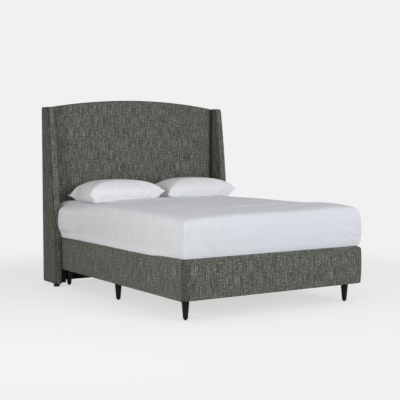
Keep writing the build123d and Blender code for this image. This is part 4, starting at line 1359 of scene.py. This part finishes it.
def remeshed(piece, size):
    """Replace the piece's mesh by an even one."""
    even = piece.modifiers.new("even", "REMESH")
    even.mode = "VOXEL"
    even.voxel_size = size
    even.use_smooth_shade = True
    depsgraph = bpy.context.evaluated_depsgraph_get()
    mesh = bpy.data.meshes.new_from_object(piece.evaluated_get(depsgraph), depsgraph=depsgraph)
    piece.modifiers.remove(even)
    old, piece.data = piece.data, mesh
    bpy.data.meshes.remove(old)


class BED_OT_pillows(bpy.types.Operator):
    """Fill the two pillowcases and lay them on the mattress."""

    bl_idname = "bed.pillows"
    bl_label = "Pillows"

    def execute(self, context):
        want = settings().pillows
        cotton = made_once(white_cotton, "case_cotton", tuple(want.colour), (0.05, 0.12, 0.09), 0.006)
        for side in ("left", "right"):
            low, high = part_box(f"pillowcase_{side}")
            case = self.form(f"pillowcase_cotton_{side}", low, high, EAR_LIFTS[side])
            fill_with_cloth(case, want)
            self.lay(case, low.z)
            insert = self.insert(case, f"pillow_ticking_{side}")
            attach(case, f"pillow_{side}", "case_cotton", cotton, f"pillowcase_{side}")
            attach(insert, f"pillow_{side}", "ticking", made_once(ticking), f"pillow_{side}")
        return {"FINISHED"}

    def form(self, name, low, high, lift):
        """A pillow's closed form in an even mesh."""
        upper, lower = pillow_form(low, high, lift)
        piece = sew(name, [(upper, cloth_uv(upper), 0.0), (lower, cloth_uv(lower), 0.0)], (low + high) / 2)
        remeshed(piece, CASE_MESH)
        return piece

    def lay(self, piece, low):
        """Flatten the pillow's underside on the sheet where it would sink in."""
        sheet = bpy.data.objects["cotton_sheet"].data
        surface = BVHTree.FromPolygons([vertex.co for vertex in sheet.vertices],
                                       [face.vertices for face in sheet.polygons])
        for vertex in piece.data.vertices:
            if vertex.co.z < low + PRESSED_HEIGHT:
                above = Vector((vertex.co.x, vertex.co.y, 2.0))
                hit = surface.ray_cast(above, Vector((0, 0, -1)))[0]
                floor = hit.z + PILLOW_GAP if hit else low
                vertex.co.z = max(vertex.co.z, floor)
        for face in piece.data.polygons:
            face.use_smooth = True

    def insert(self, case, name):
        """The pillow inside the case, a little smaller all round."""
        made = bpy.data.objects.new(name, case.data.copy())
        bpy.context.scene.collection.objects.link(made)
        points = [vertex.co - INSERT_MARGIN * vertex.normal for vertex in made.data.vertices]
        made.data.vertices.foreach_set("co", np.array(points, dtype=np.float32).ravel())
        remeshed(made, INSERT_MESH)
        for face in made.data.polygons:
            face.use_smooth = True
        return made


# Finishes of the rigid pieces


# Colours of early and late wood
PINE = ((0.62, 0.43, 0.24), (0.48, 0.30, 0.15))
BIRCH = ((0.66, 0.50, 0.32), (0.56, 0.40, 0.24))
ESPRESSO = ((0.011, 0.008, 0.008), (0.006, 0.0045, 0.0045))


def paint(nodes, material):
    """Give CAD nodes a material in all their slots."""
    for name in nodes:
        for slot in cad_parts[name].material_slots:
            slot.material = material


class BED_OT_timber(bpy.types.Operator):
    """Give the boards, slats, posts, cores and legs their wood."""

    bl_idname = "bed.timber"
    bl_label = "Timber"

    def execute(self, context):
        for along, names in (
            ("X", ("foot_rail_board", "slats", "headboard_top_rail", "headboard_cross_rails",
                   "headboard_anchor_rail")),
            ("Y", ("side_rail_board_left", "side_rail_board_right", "ledger_left", "ledger_right",
                   "leg_blocks", "centre_beam")),
            ("Z", ("centre_posts", "headboard_stiles")),
        ):
            paint(names, made_once(grain_wood, f"pine_{along.lower()}", along, *PINE, 0.62))
        ply = made_once(grain_wood, "birch_ply", "Z", *BIRCH, 0.6)
        paint(("headboard_panel", "wing_core_left", "wing_core_right"), ply)
        legs = [f"leg_{place}_{side}" for place in ("foot", "middle", "head") for side in ("left", "right")]
        paint([*legs, "wing_braces"], made_once(grain_wood, "espresso_stain", "Z", *ESPRESSO, 0.45, 0.12))
        return {"FINISHED"}


class BED_OT_hardware(bpy.types.Operator):
    """Give the screws, bolts, brackets, glides, feet and webbing their finish."""

    bl_idname = "bed.hardware"
    bl_label = "Hardware"

    def execute(self, context):
        paint(("beam_hangers", "block_screws", "bracket_bolts", "bracket_screws", "glide_screws",
               "ledger_screws", "leg_bolts", "leg_inserts", "rail_brackets", "tee_nuts", "wing_bolts"),
              made_once(zinc_steel))
        feet = [f"levelling_foot_{place}" for place in ("front", "middle", "rear")]
        paint(("leg_glides", "wing_glides", *feet), made_once(black_plastic))
        paint(("slat_straps",), made_once(woven_webbing))
        return {"FINISHED"}


# Stage

# The floor, and how far from the middle it starts and ends fading into the background
FLOOR_RADIUS, FADE_START, FADE_END = 14.0, 1.9, 3.4
FLOOR_COLOUR = (0.38, 0.38, 0.38, 1.0)
WHITE = (1.0, 1.0, 1.0, 1.0)

# The photograph's camera: place and aim in metres, lens and sensor in millimetres, shift in frame widths
CAMERA_PLACE = (-4.157, -6.5525, 1.266)
CAMERA_AIM = (0.0, -0.0475, 0.7)
CAMERA_LENS, CAMERA_SENSOR = 89.29, 36.0
CAMERA_SHIFT = (0.0004, 0.0091)


def seen_ray(tree):
    """1 for rays that show a background: the camera's, and those in gloss and glass."""
    path = node(tree, "ShaderNodeLightPath").outputs
    seen = path["Is Camera Ray"]
    for kind in ("Is Glossy Ray", "Is Transmission Ray"):
        seen = node(tree, "ShaderNodeMath", {0: seen, 1: path[kind]}, operation="MAXIMUM").outputs[0]
    return seen


class BED_OT_stage(bpy.types.Operator):
    """Set the floor, the background, the lamps and the camera."""

    bl_idname = "bed.stage"
    bl_label = "Stage"

    def execute(self, context):
        want = settings().stage
        self.floor(want)
        self.world(want)
        for name, place, aim, size, power, colour in (
            ("front_lamp", (2.4, -7.5, 2.3), (0.0, 0.0, 0.7), 3.0, want.front, (0.95, 0.98, 1.03)),
            ("side_lamp", (-5.0, -2.6, 1.3), (0.0, -0.6, 0.5), 2.4, want.side, (1.02, 1.0, 0.96)),
            ("overhead_lamp", (0.0, -0.6, 4.6), (0.0, 0.0, 0.0), 3.2, want.overhead, (0.98, 0.99, 1.02)),
        ):
            self.lamp(name, place, aim, size, power, colour)
        self.camera()
        context.scene.view_settings.view_transform = "Standard"
        return {"FINISHED"}

    def floor(self, want):
        """A pale floor that takes soft shadows and fades into the background."""
        bpy.ops.mesh.primitive_circle_add(vertices=96, radius=FLOOR_RADIUS, fill_type="NGON")
        floor = bpy.context.object
        floor.name = "studio_floor"
        made = bpy.data.materials.new("studio_floor")
        made.use_nodes = True
        tree = made.node_tree
        tree.nodes.clear()
        seen = seen_ray(tree)
        lit = node(tree, "ShaderNodeBsdfDiffuse", {"Color": FLOOR_COLOUR})
        glow = node(tree, "ShaderNodeEmission", {
            "Color": WHITE, "Strength": scaled(tree, seen, want.floor_light)})
        both = node(tree, "ShaderNodeAddShader", {0: lit.outputs[0], 1: glow.outputs[0]})
        place = node(tree, "ShaderNodeNewGeometry").outputs["Position"]
        away = node(tree, "ShaderNodeVectorMath", {0: place}, operation="LENGTH").outputs["Value"]
        fade = node(tree, "ShaderNodeMapRange", {
            "Value": away, "From Min": FADE_START, "From Max": FADE_END},
            interpolation_type="SMOOTHSTEP").outputs["Result"]
        fade = node(tree, "ShaderNodeMath", {0: fade, 1: seen}, operation="MULTIPLY").outputs[0]
        clear = node(tree, "ShaderNodeBsdfTransparent")
        mixed = node(tree, "ShaderNodeMixShader", {0: fade, 1: both.outputs[0], 2: clear.outputs[0]})
        node(tree, "ShaderNodeOutputMaterial", {"Surface": mixed.outputs[0]})
        floor.data.materials.append(made)

    def world(self, want):
        """Even light from all round, and the background's own brightness where it is seen."""
        world = bpy.data.worlds.new("studio")
        bpy.context.scene.world = world
        world.use_nodes = True
        tree = world.node_tree
        tree.nodes.clear()
        seen = seen_ray(tree)
        light = node(tree, "ShaderNodeBackground", {"Color": WHITE, "Strength": want.ambient})
        shown = node(tree, "ShaderNodeBackground", {
            "Color": (want.background,) * 3 + (1.0,), "Strength": 1.0})
        mixed = node(tree, "ShaderNodeMixShader", {0: seen, 1: light.outputs[0], 2: shown.outputs[0]})
        node(tree, "ShaderNodeOutputWorld", {"Surface": mixed.outputs[0]})

    def lamp(self, name, place, aim, size, power, colour):
        """A square soft lamp that isn't seen itself."""
        data = bpy.data.lights.new(name, "AREA")
        data.size = size
        data.energy = power
        data.color = colour
        lamp = bpy.data.objects.new(name, data)
        lamp.location = place
        lamp.rotation_euler = (Vector(aim) - Vector(place)).to_track_quat("-Z", "Y").to_euler()
        lamp.visible_camera = False
        bpy.context.scene.collection.objects.link(lamp)

    def camera(self):
        """The camera at the photograph's angle."""
        data = bpy.data.cameras.new("camera")
        data.lens = CAMERA_LENS
        data.sensor_width = CAMERA_SENSOR
        data.shift_x, data.shift_y = CAMERA_SHIFT
        data.clip_end = 60.0
        camera = bpy.data.objects.new("camera", data)
        camera.location = CAMERA_PLACE
        aim = Vector(CAMERA_AIM) - camera.location
        camera.rotation_euler = aim.to_track_quat("-Z", "Y").to_euler()
        bpy.context.scene.collection.objects.link(camera)
        bpy.context.scene.camera = camera


OPERATORS = (
    BED_OT_rails, BED_OT_headboard, BED_OT_wings, BED_OT_mattress, BED_OT_sheet, BED_OT_pillows,
    BED_OT_timber, BED_OT_hardware, BED_OT_stage,
)
GROUPS = (
    TweedSettings, RailSettings, HeadSettings, SheetSettings, PillowSettings, StageSettings, BedSettings,
)


class BED_PT_panel(bpy.types.Panel):
    """List the steps that make the bed."""

    bl_label = "Bed"
    bl_idname = "BED_PT_panel"
    bl_space_type = "VIEW_3D"
    bl_region_type = "UI"
    bl_category = "Bed"

    def draw(self, context):
        for operator in OPERATORS:
            self.layout.operator(operator.bl_idname)
        for group in context.scene.bed.bl_rna.properties:
            if group.type == "POINTER" and group.identifier != "rna_type":
                box = self.layout.box()
                box.label(text=group.identifier.title())
                part = getattr(context.scene.bed, group.identifier)
                for value in part.bl_rna.properties:
                    if value.identifier not in ("rna_type", "name"):
                        box.prop(part, value.identifier)


def register():
    """Register the classes and the settings."""
    for part in (*GROUPS, *OPERATORS, BED_PT_panel):
        bpy.utils.register_class(part)
    bpy.types.Scene.bed = PointerProperty(type=BedSettings)


def unregister():
    """Take the settings and the classes away again."""
    del bpy.types.Scene.bed
    for part in (BED_PT_panel, *reversed(OPERATORS), *reversed(GROUPS)):
        bpy.utils.unregister_class(part)


def main():
    """Make the whole bed on its stage."""
    register()
    for operator in OPERATORS:
        group, step = operator.bl_idname.split(".")
        getattr(getattr(bpy.ops, group), step)()


if __name__ == "__main__":
    main()
